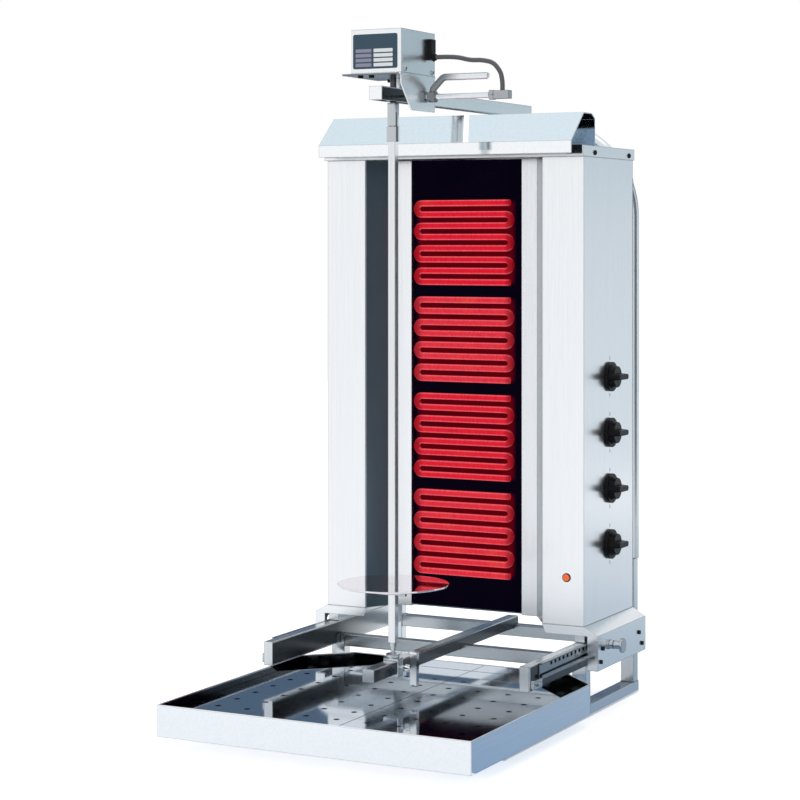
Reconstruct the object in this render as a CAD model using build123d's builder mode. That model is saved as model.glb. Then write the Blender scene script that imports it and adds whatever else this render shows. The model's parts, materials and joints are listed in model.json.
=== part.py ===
"""Electric doner kebab grill: heated tower on a sliding carriage, driven spit and drip tray.

Millimetres. X is the width, Y runs from the front to the back, Z is up.
The origin stands on the table, on the tower's centre plane, under the rest place of its front.
"""
from build123d import *
import math
import os

# Sizes that the rails, the tower, its covers and the hoop share
tower_half_width = 232.5
tower_depth = 215.0
rail_inset = 1.5
rail_outer = tower_half_width - rail_inset

# Base frame
base_rail_width = 25.0
base_rail_height = 20.0
base_rail_front = -298.0
post_width = 24.0
post_depth = 19.0
front_post_y = 12.0
rear_post_gap = 9.0
rear_post_y = tower_depth + rear_post_gap
rear_post_top = 228.0
top_rail_width = 16.0
top_rail_front = -212.0
top_rail_bottom = 84.0
top_rail_top = 122.0
cross_bar_bottom = 79.0
cross_bar_height = 20.0
bar_size = 20.0
bar_bottom = 92.0
center_bar_front = -292.0
edge_round = 1.5
fit = 0.3

# Slide channels beside the top rails
channel_wall = 2.0
channel_width = 6.5
channel_bottom = 98.0
channel_front = -177.0
slot_count = 12
slot_pitch = 16.0
channel_lip = 6.0
slot_width = 7.5
slot_height = 7.0
slot_z = 116.5
latch_y = 44.0
latch_pin_radius = 2.0
latch_stem_radius = 7.0
latch_stem_length = 12.0
latch_disc_radius = 12.0
latch_disc_thickness = 4.0
guide_inner_length = 10.0
guide_nut = 3.0
guide_nut_radius = 8.5
guide_collar = 7.0
end_stop_length = 29.0
end_stop_height = 14.0
end_stop_rise = 3.0
stop_screw_radius = 4.5

# Tower
tower_bottom = 149.0
tower_top = 896.0
sheet = 2.0
front_panel_width = 71.5
recess_half_width = 128.5
recess_depth = 53.0
strip_width = 27.5
strip_return = 12.0
panel_return = 30.0
panel_clearance = 4.0
lid_height = 18.0
lid_overhang = 9.0

# Heaters
heater_groups = 4
heater_pitch = 161.0
heater_top = 829.7
heater_tube = 11.0
heater_run_pitch = 18.75
heater_runs = 8
heater_left_edge = -98.0
heater_right_edge = 86.0
heater_terminal_end = 78.0
heater_gap = 3.0
heater_leg_radius = 3.5

# Hood over the lid
hood_inset = 5.0
hood_half_width = tower_half_width - hood_inset
hood_front = -40.0
hood_flange_bottom = 900.0
hood_flange_height = 20.0
hood_rise = 47.0
hood_run = 52.0
hood_flat = 34.0
hood_back_drop = 8.0
hood_back_run = 14.0
hood_foot = 12.0

# Carriage
cover_overhang = 24.0
cover_reach = 72.5
cover_outer = tower_half_width + cover_overhang
cover_inner = tower_half_width - cover_reach
cover_leg_width = 18.5
cover_strip_height = 15.0
cover_shoulder_z = 136.0
cover_bottom = 80.0
cover_setback = 3.0
cover_depth = tower_depth - cover_setback
cover_bolt_low = 13.5
cover_bolt_high = 33.5
cover_bolt_front = (11.5, 20.0)
cover_bolt_rear = (18.5, 32.0)
cover_chamfer = 5.0
cover_notch_width = 12.0
cover_notch_height = 5.0
guide_radius = 6.0
cover_bolt_radius = 3.4
cover_bolt_height = 2.6

# Controls
knob_disc_radius = 24.0
knob_y = 111.0
knob_top_z = 540.0
knob_pitch = 91.0
knob_count = 4
lamp_inset = 29.9
lamp_z = 225.0
lamp_radius = 4.8
lamp_rim_radius = 6.2
lamp_height = 4.0
lamp_tail = 4.0
knob_shaft_radius = 3.0
knob_shaft_length = 18.0
knob_disc_height = 5.0
knob_hub_radius = 19.0
knob_hub_height = 9.0
knob_wing_length = 42.0
knob_wing_width = 12.0
knob_wing_height = 20.0
switch_size = 42.0
switch_depth = 34.0

# Spit and drive
spit_y = -209.0
spit_square = 12.0
spit_tip_z = 119.0
spit_cone_height = 21.0
spit_bar_top = 930.0
socket_bottom = 915.0
socket_top = 939.5
socket_radius = 10.5
drive_tube_radius = 9.0
drive_tube_top = 975.0
shaft_radius = 5.0
disc_radius = 86.5
disc_z = 228.0
disc_thickness = 3.0
disc_hub_radius = 15.0
disc_hub_height = 10.0
disc_flange_radius = 34.0
disc_flange_thickness = 2.5
disc_pin_radius = 3.0
disc_pin_length = 44.0
disc_pin_z = disc_z - disc_hub_height - disc_pin_radius - 0.3

# Foot bearing
bearing_top = 116.0
bearing_half_width = 13.0
bearing_half_depth = 9.0
cup_radius = 12.0
cup_height = 6.0
clamp_z = 101.7
clamp_screw_radius = 3.5
clamp_collar_radius = 6.0
clamp_screw_length = 17.6
clamp_lever_width = 11.6
clamp_lever_depth = 9.0
clamp_lever_length = 55.5

# Hoop and arm
hoop_radius = 12.5
hoop_inset = 8.5
hoop_half_width = rail_outer - hoop_inset
hoop_y = rear_post_y + 11.0
hoop_bend = 153.5
hoop_top = 969.0
saddle_length = 40.0
arm_width = 22.0
arm_wall = 2.5
arm_bottom = 977.0
arm_top = 998.0
arm_front = -268.0
arm_rear = 298.0

# Motor head
motor_half_width = 44.0
motor_front = -267.0
motor_rear = -150.0
motor_bottom = 1018.0
motor_height = 67.0
motor_wall = 1.5
gearbox_width = 70.0
gearbox_height = 24.0
motor_can_radius = 30.0
motor_can_height = 30.0
cradle_left = -58.0
cradle_sheet = 3.0
cradle_bottom = 962.0
cheek_slope = 36.0
lug_half_depth = 15.0
spacer_length = 40.0
pivot_y = -177.0
pivot_z = 985.0
pivot_end = 150.0
pivot_radius = 4.5
pivot_nut = 5.7
pivot_nut_radius = 8.0
collar_gap = 3.0
collar_length = 11.0
collar_wall = 4.5
handle_z = 1015.0
handle_end = 148.0
handle_radius = 5.5
lead_radius = 3.6
plug_y = -173.0
plug_rise = 40.5
plug_z = motor_bottom + plug_rise
plug_depth = 16.0
plug_height = 33.0
plug_reach = 8.0
boot_radius = 7.0
boot_length = 5.0
lead_drop = 11.8
lead_z = plug_z - lead_drop
gland_nut = 8.0
gland_length = 26.0
gland_height = 13.0

# Drip tray
tray_overhang = 29.0
tray_half_width = rail_outer + tray_overhang
tray_front = -476.0
tray_rear = 24.0
tray_corner = 66.5
tray_height = 48.0
tray_wall = 2.0
floor_top = 56.0
floor_sheet = 2.0
floor_gap = 1.0
floor_seam_x = 24.0
floor_corner = 144.0
leg_inset = 6.0
hole_radius = 4.5
hole_pitch_x = 51.25
hole_pitch_y = 54.5
hole_columns = 9
hole_rows = 7
hole_rows_center_y = -227.5

os.makedirs("parts", exist_ok=True)


def finish(part, label):
    """Names a finished piece and writes its STEP file."""
    part.label = label
    export_step(part, f"parts/{label}.step")
    return part


def make_bar(label, x0, x1, y0, y1, z0, z1, axis, round_edges=edge_round):
    """A straight bar with rounded long edges between two corners."""
    with BuildPart() as bar:
        with Locations(((x0 + x1) / 2, (y0 + y1) / 2, (z0 + z1) / 2)):
            Box(x1 - x0, y1 - y0, z1 - z0)
        fillet(bar.edges().filter_by(axis), round_edges)
    return finish(bar.part, label)


def sheet_outline(points, thickness):
    """The closed outline of a bent sheet whose outer line is given, with mitred bends.

    The sheet's material lies to the right of the line as it is walked.
    """
    normals = []
    for (ax, ay), (bx, by) in zip(points, points[1:]):
        length = math.hypot(bx - ax, by - ay)
        normals.append(((by - ay) / length, (ax - bx) / length))
    inner = []
    for i, (px, py) in enumerate(points):
        before = normals[max(i - 1, 0)]
        after = normals[min(i, len(normals) - 1)]
        mx, my = before[0] + after[0], before[1] + after[1]
        scale = thickness * 2 / (mx * mx + my * my)
        inner.append((px + mx * scale, py + my * scale))
    return points + inner[::-1]


def side_name(side):
    """The piece's side as a word: -1 is left and 1 is right."""
    return "left" if side < 0 else "right"


def make_base_frame():
    """Base rails, posts, top rails and cross bars of square tube."""
    inner = rail_outer - post_width
    rail_inner = rail_outer - top_rail_width
    for side in (-1, 1):
        name = side_name(side)
        outer, inside = side * rail_outer, side * (rail_outer - base_rail_width)
        make_bar(f"base_rail_{name}", min(outer, inside), max(outer, inside), base_rail_front,
                 rear_post_y + post_depth + 3, 0, base_rail_height, Axis.Y)
        with BuildPart() as post:
            with BuildSketch(Plane.XZ.offset(-front_post_y)):
                with BuildLine():
                    Polyline([(side * rail_outer, base_rail_height), (side * inner, base_rail_height),
                              (side * inner, cross_bar_bottom + cross_bar_height),
                              (side * (rail_inner - fit), cross_bar_bottom + cross_bar_height),
                              (side * (rail_inner - fit), top_rail_bottom),
                              (side * rail_outer, top_rail_bottom)], close=True)
                make_face()
            extrude(amount=-post_depth)
        finish(post.part, f"front_post_{name}")
        make_bar(f"rear_post_{name}", min(outer, side * inner), max(outer, side * inner), rear_post_y,
                 rear_post_y + post_depth, base_rail_height, rear_post_top, Axis.Z)
        make_bar(f"top_rail_{name}", min(outer, side * rail_inner), max(outer, side * rail_inner),
                 top_rail_front, rear_post_y, top_rail_bottom, top_rail_top, Axis.Y)
    for place, y in (("front", front_post_y), ("rear", rear_post_y)):
        with BuildPart() as bar:
            with Locations((0, y + post_depth / 2, cross_bar_bottom + cross_bar_height / 2)):
                Box(2 * inner, post_depth, cross_bar_height)
            fillet(bar.edges().filter_by(Axis.X), edge_round)
            with Locations((0, y + post_depth / 2, bar_bottom + bar_size / 2)):
                Box(bar_size + 2 * fit, post_depth, bar_size, mode=Mode.SUBTRACT)
        finish(bar.part, f"{place}_cross_bar")
    make_bar("center_bar", -bar_size / 2, bar_size / 2, center_bar_front, rear_post_y + post_depth,
             bar_bottom, bar_bottom + bar_size, Axis.Y)


def make_slide_channel(side):
    """The channel outside a top rail: a slotted web between two flanges, with its end stop."""
    name = side_name(side)
    length = rear_post_y - channel_front
    web = rail_outer + channel_wall
    edge = rail_outer + channel_width
    section = [(rail_outer, channel_bottom), (rail_outer, top_rail_top), (edge, top_rail_top),
               (edge, top_rail_top - channel_wall), (web, top_rail_top - channel_wall),
               (web, channel_bottom + channel_wall), (edge - channel_wall, channel_bottom + channel_wall),
               (edge - channel_wall, channel_bottom + channel_lip), (edge, channel_bottom + channel_lip),
               (edge, channel_bottom)]
    with BuildPart() as channel:
        with BuildSketch(Plane.XZ.offset(-channel_front)):
            with BuildLine():
                Polyline([(side * x, z) for x, z in section], close=True)
            make_face()
        extrude(amount=-length)
        with BuildSketch(Plane.YZ.offset(side * rail_outer)):
            with Locations((latch_y - (slot_count - 1) * slot_pitch / 2, slot_z)):
                with GridLocations(slot_pitch, 0, slot_count, 1):
                    Rectangle(slot_width, slot_height)
        extrude(amount=side * channel_wall, mode=Mode.SUBTRACT)
    finish(channel.part, f"slide_channel_{name}")
    stop_y = channel_front - end_stop_length / 2
    stop_z = top_rail_bottom + end_stop_rise + end_stop_height / 2
    with BuildPart() as stop:
        with Locations((side * (rail_outer + channel_width / 2), stop_y, stop_z)):
            Box(channel_width, end_stop_length, end_stop_height)
        fillet(stop.edges().filter_by(Axis.X), edge_round)
        with BuildSketch(Plane.YZ.offset(side * edge)):
            with Locations((stop_y, stop_z)):
                RegularPolygon(stop_screw_radius, 6)
        extrude(amount=side * stop_screw_radius)
    finish(stop.part, f"end_stop_{name}")


def make_casing(side):
    """One folded side of the tower: outer wall, front panel, slanted wing and recess strip."""
    wing_x = tower_half_width - front_panel_width
    line = [(tower_half_width, tower_depth - sheet), (tower_half_width, 0), (wing_x, 0),
            (recess_half_width, recess_depth), (recess_half_width - strip_width, recess_depth),
            (recess_half_width - strip_width, recess_depth + strip_return)]
    outline = sheet_outline(line, sheet)
    with BuildPart() as casing:
        with BuildSketch(Plane.XY.offset(tower_bottom)):
            with BuildLine():
                Polyline([(side * x, y) for x, y in outline], close=True)
            make_face()
        extrude(amount=tower_top - tower_bottom)
        if side > 0:
            with BuildSketch(Plane.XZ):
                with Locations((tower_half_width - lamp_inset, lamp_z)):
                    Circle(lamp_radius)
            extrude(amount=-sheet, mode=Mode.SUBTRACT)
            with BuildSketch(Plane.YZ.offset(tower_half_width - sheet)):
                with Locations((knob_y, knob_top_z - (knob_count - 1) * knob_pitch / 2)):
                    with GridLocations(0, knob_pitch, 1, knob_count):
                        Circle(knob_shaft_radius + 1)
            extrude(amount=sheet, mode=Mode.SUBTRACT)
    return finish(casing.part, f"side_casing_{side_name(side)}")


def make_tower():
    """The tower's shells: casings, back, floor, heater panel, lid and hood."""
    for side in (-1, 1):
        make_casing(side)
    make_bar("back_panel", -tower_half_width, tower_half_width, tower_depth - sheet, tower_depth,
             tower_bottom, tower_top, Axis.Z, 0.8)
    inside = tower_half_width - sheet - fit
    wing_x = tower_half_width - front_panel_width - sheet
    recess_back = recess_depth + strip_return
    panel_half = recess_half_width - panel_clearance
    panel_front = recess_back + fit
    panel_back = panel_front + panel_return
    with BuildPart() as floor:
        with BuildSketch(Plane.XY.offset(tower_bottom)):
            with BuildLine():
                Polyline([(inside, tower_depth - sheet - fit), (inside, sheet + fit),
                          (wing_x + 2 * sheet, sheet + fit), (recess_half_width + sheet, recess_back),
                          (-recess_half_width - sheet, recess_back), (-wing_x - 2 * sheet, sheet + fit),
                          (-inside, sheet + fit), (-inside, tower_depth - sheet - fit)], close=True)
            make_face()
        extrude(amount=sheet)
    finish(floor.part, "tower_floor")
    with BuildPart() as panel:
        with BuildSketch(Plane.XY.offset(tower_bottom + sheet)):
            with BuildLine():
                Polyline(sheet_outline([(panel_half, panel_back), (panel_half, panel_front),
                                        (-panel_half, panel_front), (-panel_half, panel_back)],
                                       sheet), close=True)
            make_face()
        extrude(amount=tower_top - tower_bottom - sheet)
    finish(panel.part, "heater_panel")
    lid_half = tower_half_width + sheet + fit
    lid_depth = tower_depth + lid_overhang + sheet + fit
    with BuildPart() as lid:
        with Locations((0, -lid_overhang + lid_depth / 2, tower_top + lid_height / 2)):
            Box(2 * lid_half, lid_depth, lid_height)
        fillet(lid.edges().filter_by(Axis.Z), edge_round)
        offset(amount=-sheet, openings=lid.faces().sort_by(Axis.Z)[0])
    finish(lid.part, "lid")
    lid_top = tower_top + lid_height
    slope_top_z = hood_flange_bottom + hood_flange_height + hood_rise
    slope_top_y = hood_front + hood_run
    back_y = slope_top_y + hood_flat + hood_back_run
    hood_line = [(hood_front, hood_flange_bottom), (hood_front, hood_flange_bottom + hood_flange_height),
                 (slope_top_y, slope_top_z), (slope_top_y + hood_flat, slope_top_z),
                 (back_y, slope_top_z - hood_back_drop), (back_y, lid_top)]
    with BuildPart() as hood:
        with BuildSketch(Plane.YZ.offset(-hood_half_width)):
            with BuildLine():
                Polyline(sheet_outline(hood_line, sheet), close=True)
            make_face()
            with Locations((back_y + hood_foot / 2, lid_top + sheet / 2)):
                Rectangle(hood_foot + sheet, sheet)
        extrude(amount=2 * hood_half_width)
    finish(hood.part, "hood")


def make_heater(index):
    """One glowing serpentine of round tube with its two terminal legs into the panel."""
    radius = heater_tube / 2
    top = heater_top - index * heater_pitch - radius
    bend = heater_run_pitch / 2
    left = heater_left_edge + radius + bend
    right = heater_right_edge - radius - bend
    recess_back = recess_depth + strip_return
    y = recess_back - radius - heater_gap
    depth = recess_back + fit - y
    with BuildPart() as heater:
        with BuildLine() as path:
            z = top
            Line((heater_terminal_end, y, z), (left, y, z))
            for run in range(1, heater_runs):
                going_right = run % 2 == 1
                start, end, way = (left, right, -1) if going_right else (right, left, 1)
                ThreePointArc((start, y, z), (start + way * bend, y, z - bend), (start, y, z - 2 * bend))
                z -= heater_run_pitch
                Line((start, y, z), (heater_terminal_end if run == heater_runs - 1 else end, y, z))
        with BuildSketch(Plane(origin=(heater_terminal_end, y, top), z_dir=(-1, 0, 0))):
            Circle(radius)
        sweep(path=path.wires()[0])
        for leg_z in (top, z):
            with Locations((heater_terminal_end - radius, y + depth / 2, leg_z)):
                Cylinder(heater_leg_radius, depth, rotation=(90, 0, 0))
    return finish(heater.part, f"heater_{index + 1}")


def make_carriage_cover(side):
    """The folded cover over a rail and its runner, with a sloping shoulder and a leg outside."""
    name = side_name(side)
    leg_inner = cover_outer - cover_leg_width
    strip_bottom = tower_bottom - cover_strip_height
    notch_x = leg_inner + cover_notch_width
    notch_top = channel_bottom + channel_lip
    notch_bottom = notch_top - cover_notch_height
    top = tower_bottom - fit
    face = [(cover_inner, top), (tower_half_width + 1, top), (cover_outer, cover_shoulder_z),
            (cover_outer, cover_bottom), (leg_inner, cover_bottom), (leg_inner, notch_bottom),
            (notch_x, notch_bottom), (notch_x, notch_top), (leg_inner, notch_top),
            (leg_inner, strip_bottom), (cover_inner + cover_chamfer, strip_bottom)]
    roof = [(cover_inner, top), (tower_half_width + 1, top), (cover_outer, cover_shoulder_z),
            (cover_outer, cover_bottom)]
    with BuildPart() as cover:
        with BuildSketch(Plane.XZ):
            with BuildLine():
                Polyline([(side * x, z) for x, z in sheet_outline(roof, sheet)], close=True)
            make_face()
        extrude(amount=-cover_depth)
        for y in (0, cover_depth - sheet):
            with BuildSketch(Plane.XZ.offset(-y)):
                with BuildLine():
                    Polyline([(side * x, z) for x, z in face], close=True)
                make_face()
            extrude(amount=-sheet)
        with BuildSketch(Plane.YZ.offset(side * (cover_outer - sheet))):
            with Locations((latch_y, slot_z)):
                Circle(guide_radius + fit)
        extrude(amount=side * sheet, mode=Mode.SUBTRACT)
    finish(cover.part, f"carriage_cover_{name}")
    runner_height = top - sheet - top_rail_top - fit
    with BuildPart() as runner:
        with Locations((side * (rail_outer - top_rail_width / 2), cover_depth / 2,
                        top_rail_top + fit + runner_height / 2)):
            Box(top_rail_width + 2, cover_depth - 4 * sheet, runner_height)
        fillet(runner.edges().filter_by(Axis.X), edge_round)
    finish(runner.part, f"carriage_runner_{name}")
    low_bolt, high_bolt = cover_bottom + cover_bolt_low, cover_bottom + cover_bolt_high
    with BuildPart() as bolts:
        with BuildSketch(Plane.YZ.offset(side * cover_outer)):
            with Locations((cover_bolt_front[0], low_bolt), (cover_bolt_front[1], high_bolt),
                           (cover_depth - cover_bolt_rear[0], low_bolt),
                           (cover_depth - cover_bolt_rear[1], high_bolt)):
                Circle(cover_bolt_radius)
        extrude(amount=side * cover_bolt_height)
    finish(bolts.part, f"cover_bolts_{name}")


def make_latch():
    """The pull plunger for the slots, drawn pulled out, and its threaded guide."""
    inner_end = cover_outer - sheet - guide_inner_length
    collar_end = cover_outer + guide_nut + guide_collar
    with BuildPart() as guide:
        with BuildSketch(Plane.YZ.offset(inner_end)):
            with Locations((latch_y, slot_z)):
                Circle(guide_radius)
        extrude(amount=cover_outer - inner_end)
        with BuildSketch(Plane.YZ.offset(cover_outer)):
            with Locations((latch_y, slot_z)):
                RegularPolygon(guide_nut_radius, 6)
        extrude(amount=guide_nut)
        with BuildSketch(Plane.YZ.offset(cover_outer + guide_nut)):
            with Locations((latch_y, slot_z)):
                Circle(latch_stem_radius)
        extrude(amount=guide_collar)
        with BuildSketch(Plane.YZ.offset(inner_end)):
            with Locations((latch_y, slot_z)):
                Circle(latch_pin_radius + 2 * fit)
        extrude(amount=collar_end - inner_end, mode=Mode.SUBTRACT)
    finish(guide.part, "latch_guide")
    nose = rail_outer + channel_width + 2 * fit
    knob_start = collar_end + 2 * fit
    disc_start = knob_start + latch_stem_length
    with BuildPart() as pin:
        for start, end, radius in ((nose, knob_start, latch_pin_radius),
                                   (knob_start, disc_start, latch_stem_radius - fit),
                                   (disc_start, disc_start + latch_disc_thickness, latch_disc_radius)):
            with BuildSketch(Plane.YZ.offset(start)):
                with Locations((latch_y, slot_z)):
                    Circle(radius)
            extrude(amount=end - start)
        fillet(pin.edges().filter_by(GeomType.CIRCLE).group_by(Axis.X)[-1], 1.2)
    finish(pin.part, "latch_pin")


def make_controls():
    """Four switches with wing knobs on the right side, and the pilot lamp on the front."""
    face = tower_half_width
    switch_plane = Plane.YZ.offset(face - sheet - switch_depth)
    with BuildPart() as switches:
        with BuildSketch(switch_plane):
            with Locations((knob_y, knob_top_z - (knob_count - 1) * knob_pitch / 2)):
                with GridLocations(0, knob_pitch, 1, knob_count):
                    RectangleRounded(switch_size, switch_size, 4)
        extrude(amount=switch_depth - fit)
        with BuildSketch(switch_plane.offset(switch_depth - fit)):
            with Locations((knob_y, knob_top_z - (knob_count - 1) * knob_pitch / 2)):
                with GridLocations(0, knob_pitch, 1, knob_count):
                    Circle(knob_shaft_radius + fit)
        extrude(amount=-knob_shaft_length, mode=Mode.SUBTRACT)
    finish(switches.part, "heat_switches")
    for index in range(knob_count):
        z = knob_top_z - index * knob_pitch
        seat = Plane(origin=(face + fit, knob_y, z), x_dir=(0, 1, 0), z_dir=(1, 0, 0))
        with BuildPart() as knob:
            with BuildSketch(seat):
                Circle(knob_disc_radius)
            extrude(amount=knob_disc_height)
            with BuildSketch(seat.offset(knob_disc_height)):
                Circle(knob_hub_radius)
            extrude(amount=knob_hub_height, taper=12)
            with BuildSketch(seat.offset(knob_disc_height)):
                SlotOverall(knob_wing_length, knob_wing_width)
            extrude(amount=knob_wing_height, taper=5)
            with BuildSketch(seat):
                Circle(knob_shaft_radius)
            extrude(amount=-knob_shaft_length)
        finish(knob.part, f"heat_knob_{index + 1}")
    lamp_x = face - lamp_inset
    with BuildPart() as lamp:
        with BuildSketch(Plane.XZ.offset(-sheet - lamp_tail)):
            with Locations((lamp_x, lamp_z)):
                Circle(lamp_radius - fit / 2)
        extrude(amount=sheet + lamp_tail)
        with BuildSketch(Plane.XZ):
            with Locations((lamp_x, lamp_z)):
                Circle(lamp_rim_radius)
        extrude(amount=lamp_height, taper=20)
    finish(lamp.part, "pilot_lamp")


def make_spit():
    """The spit: coned square bar, meat disc with its cross pin, coupling tube and socket."""
    center = (0, spit_y)
    cone_top = spit_tip_z + spit_cone_height
    with BuildPart() as bar:
        with BuildSketch(Plane.XY.offset(cone_top)):
            with Locations(center):
                RectangleRounded(spit_square, spit_square, 0.8)
        extrude(amount=spit_bar_top - cone_top)
        with Locations((0, spit_y, spit_tip_z + spit_cone_height / 2)):
            Cone(1.5, spit_square / 2, spit_cone_height)
        with Locations((0, spit_y, disc_pin_z)):
            Cylinder(disc_pin_radius, 2 * spit_square, rotation=(0, 90, 0), mode=Mode.SUBTRACT)
    finish(bar.part, "spit_bar")
    with BuildPart() as disc:
        with BuildSketch(Plane.XY.offset(disc_z)):
            with Locations(center):
                Circle(disc_radius)
        extrude(amount=disc_thickness)
        with BuildSketch(Plane.XY.offset(disc_z - disc_hub_height)):
            with Locations(center):
                Circle(disc_hub_radius)
        extrude(amount=disc_hub_height)
        with BuildSketch(Plane.XY.offset(disc_z - disc_hub_height)):
            with Locations(center):
                Circle(disc_flange_radius)
        extrude(amount=disc_flange_thickness)
        with BuildSketch(Plane.XY.offset(disc_z - disc_hub_height)):
            with Locations(center):
                Rectangle(spit_square + fit, spit_square + fit)
        extrude(amount=disc_hub_height + disc_thickness, mode=Mode.SUBTRACT)
    finish(disc.part, "meat_disc")
    with BuildPart() as pin:
        with Locations((0, spit_y, disc_pin_z)):
            Cylinder(disc_pin_radius, disc_pin_length, rotation=(0, 90, 0))
    finish(pin.part, "disc_pin")
    with BuildPart() as socket:
        with BuildSketch(Plane.XY.offset(socket_bottom)):
            with Locations(center):
                Circle(socket_radius)
        extrude(amount=socket_top - socket_bottom)
        chamfer(socket.faces().sort_by(Axis.Z)[-1].edges(), 1.2)
        with BuildSketch(Plane.XY.offset(socket_top)):
            with Locations(center):
                Circle(drive_tube_radius)
        extrude(amount=drive_tube_top - socket_top)
        with BuildSketch(Plane.XY.offset(socket_bottom)):
            with Locations(center):
                Rectangle(spit_square + fit, spit_square + fit)
        extrude(amount=spit_bar_top + fit - socket_bottom, mode=Mode.SUBTRACT)
        with BuildSketch(Plane.XY.offset(drive_tube_top)):
            with Locations(center):
                Circle(shaft_radius)
        extrude(amount=motor_bottom + 2 - drive_tube_top)
    finish(socket.part, "drive_coupling")


def make_foot_bearing():
    """The sliding foot bearing on the center bar, with its clamp screw and lever."""
    bottom = bar_bottom - 4
    with BuildPart() as block:
        with Locations((0, spit_y, (bottom + bearing_top) / 2)):
            Box(2 * bearing_half_width, 2 * bearing_half_depth, bearing_top - bottom)
        fillet(block.edges().filter_by(Axis.Z), edge_round)
        with Locations((0, spit_y, bar_bottom + bar_size / 2)):
            Box(bar_size + fit, 4 * bearing_half_depth, bar_size + fit, mode=Mode.SUBTRACT)
        with BuildSketch(Plane.XY.offset(bearing_top)):
            with Locations((0, spit_y)):
                Circle(cup_radius - 3)
        extrude(amount=cup_height, taper=-22)
        with Locations((0, spit_y, bearing_top + cup_height / 2 + 1)):
            Cone(3, 9, cup_height - 1, mode=Mode.SUBTRACT)
    finish(block.part, "foot_bearing")
    face = Plane(origin=(bearing_half_width + fit, spit_y, clamp_z), x_dir=(0, 1, 0), z_dir=(1, 0, 0))
    with BuildPart() as lever:
        with BuildSketch(face):
            Circle(clamp_screw_radius)
        extrude(amount=clamp_screw_length)
        with BuildSketch(face.offset(clamp_screw_length / 2)):
            Circle(clamp_collar_radius)
        extrude(amount=clamp_screw_length / 2)
        with BuildSketch(face.offset(clamp_screw_length)):
            SlotOverall(clamp_lever_length, clamp_lever_depth, rotation=90)
        extrude(amount=clamp_lever_width)
    finish(lever.part, "clamp_lever")


def make_hoop_and_arm():
    """The round hoop behind the tower, the saddle on it and the arm that carries the motor."""
    bend_z = hoop_top - hoop_radius - hoop_bend
    bend_x = hoop_half_width - hoop_bend
    crown = hoop_top - hoop_radius
    middle = hoop_bend * math.sin(math.pi / 4)
    with BuildPart() as hoop:
        with BuildLine() as path:
            Line((-hoop_half_width, hoop_y, rear_post_top), (-hoop_half_width, hoop_y, bend_z))
            ThreePointArc((-hoop_half_width, hoop_y, bend_z), (-bend_x - middle, hoop_y, bend_z + middle),
                          (-bend_x, hoop_y, crown))
            Line((-bend_x, hoop_y, crown), (bend_x, hoop_y, crown))
            ThreePointArc((bend_x, hoop_y, crown), (bend_x + middle, hoop_y, bend_z + middle),
                          (hoop_half_width, hoop_y, bend_z))
            Line((hoop_half_width, hoop_y, bend_z), (hoop_half_width, hoop_y, rear_post_top))
        with BuildSketch(Plane.XY.offset(rear_post_top)):
            with Locations((-hoop_half_width, hoop_y)):
                Circle(hoop_radius)
        sweep(path=path.wires()[0])
    finish(hoop.part, "hoop")
    with BuildPart() as saddle:
        with Locations((0, hoop_y, (crown + arm_bottom) / 2)):
            Box(saddle_length, 2 * hoop_radius + 10, arm_bottom - crown)
        with Locations((0, hoop_y, crown)):
            Cylinder(hoop_radius + 0.1, 2 * saddle_length, rotation=(0, 90, 0), mode=Mode.SUBTRACT)
    finish(saddle.part, "arm_saddle")
    half = arm_width / 2
    with BuildPart() as arm:
        with BuildSketch(Plane.XZ.offset(-arm_front)):
            with BuildLine():
                Polyline(sheet_outline([(-half, arm_bottom), (-half, arm_top), (half, arm_top),
                                        (half, arm_bottom)], arm_wall), close=True)
            make_face()
        extrude(amount=-(arm_rear - arm_front))
        with BuildSketch(Plane.XZ.offset(-arm_front)):
            with Locations((0, (arm_bottom + arm_top) / 2)):
                Rectangle(arm_width, arm_top - arm_bottom)
        extrude(amount=-arm_wall)
        with BuildSketch(Plane.XY.offset(arm_top)):
            with Locations((0, spit_y)):
                Circle(shaft_radius + 1)
        extrude(amount=-2 * arm_wall, mode=Mode.SUBTRACT)
        with BuildSketch(Plane.YZ.offset(-half)):
            with Locations((pivot_y, pivot_z)):
                Circle(pivot_radius)
        extrude(amount=arm_width, mode=Mode.SUBTRACT)
    finish(arm.part, "arm")


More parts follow.
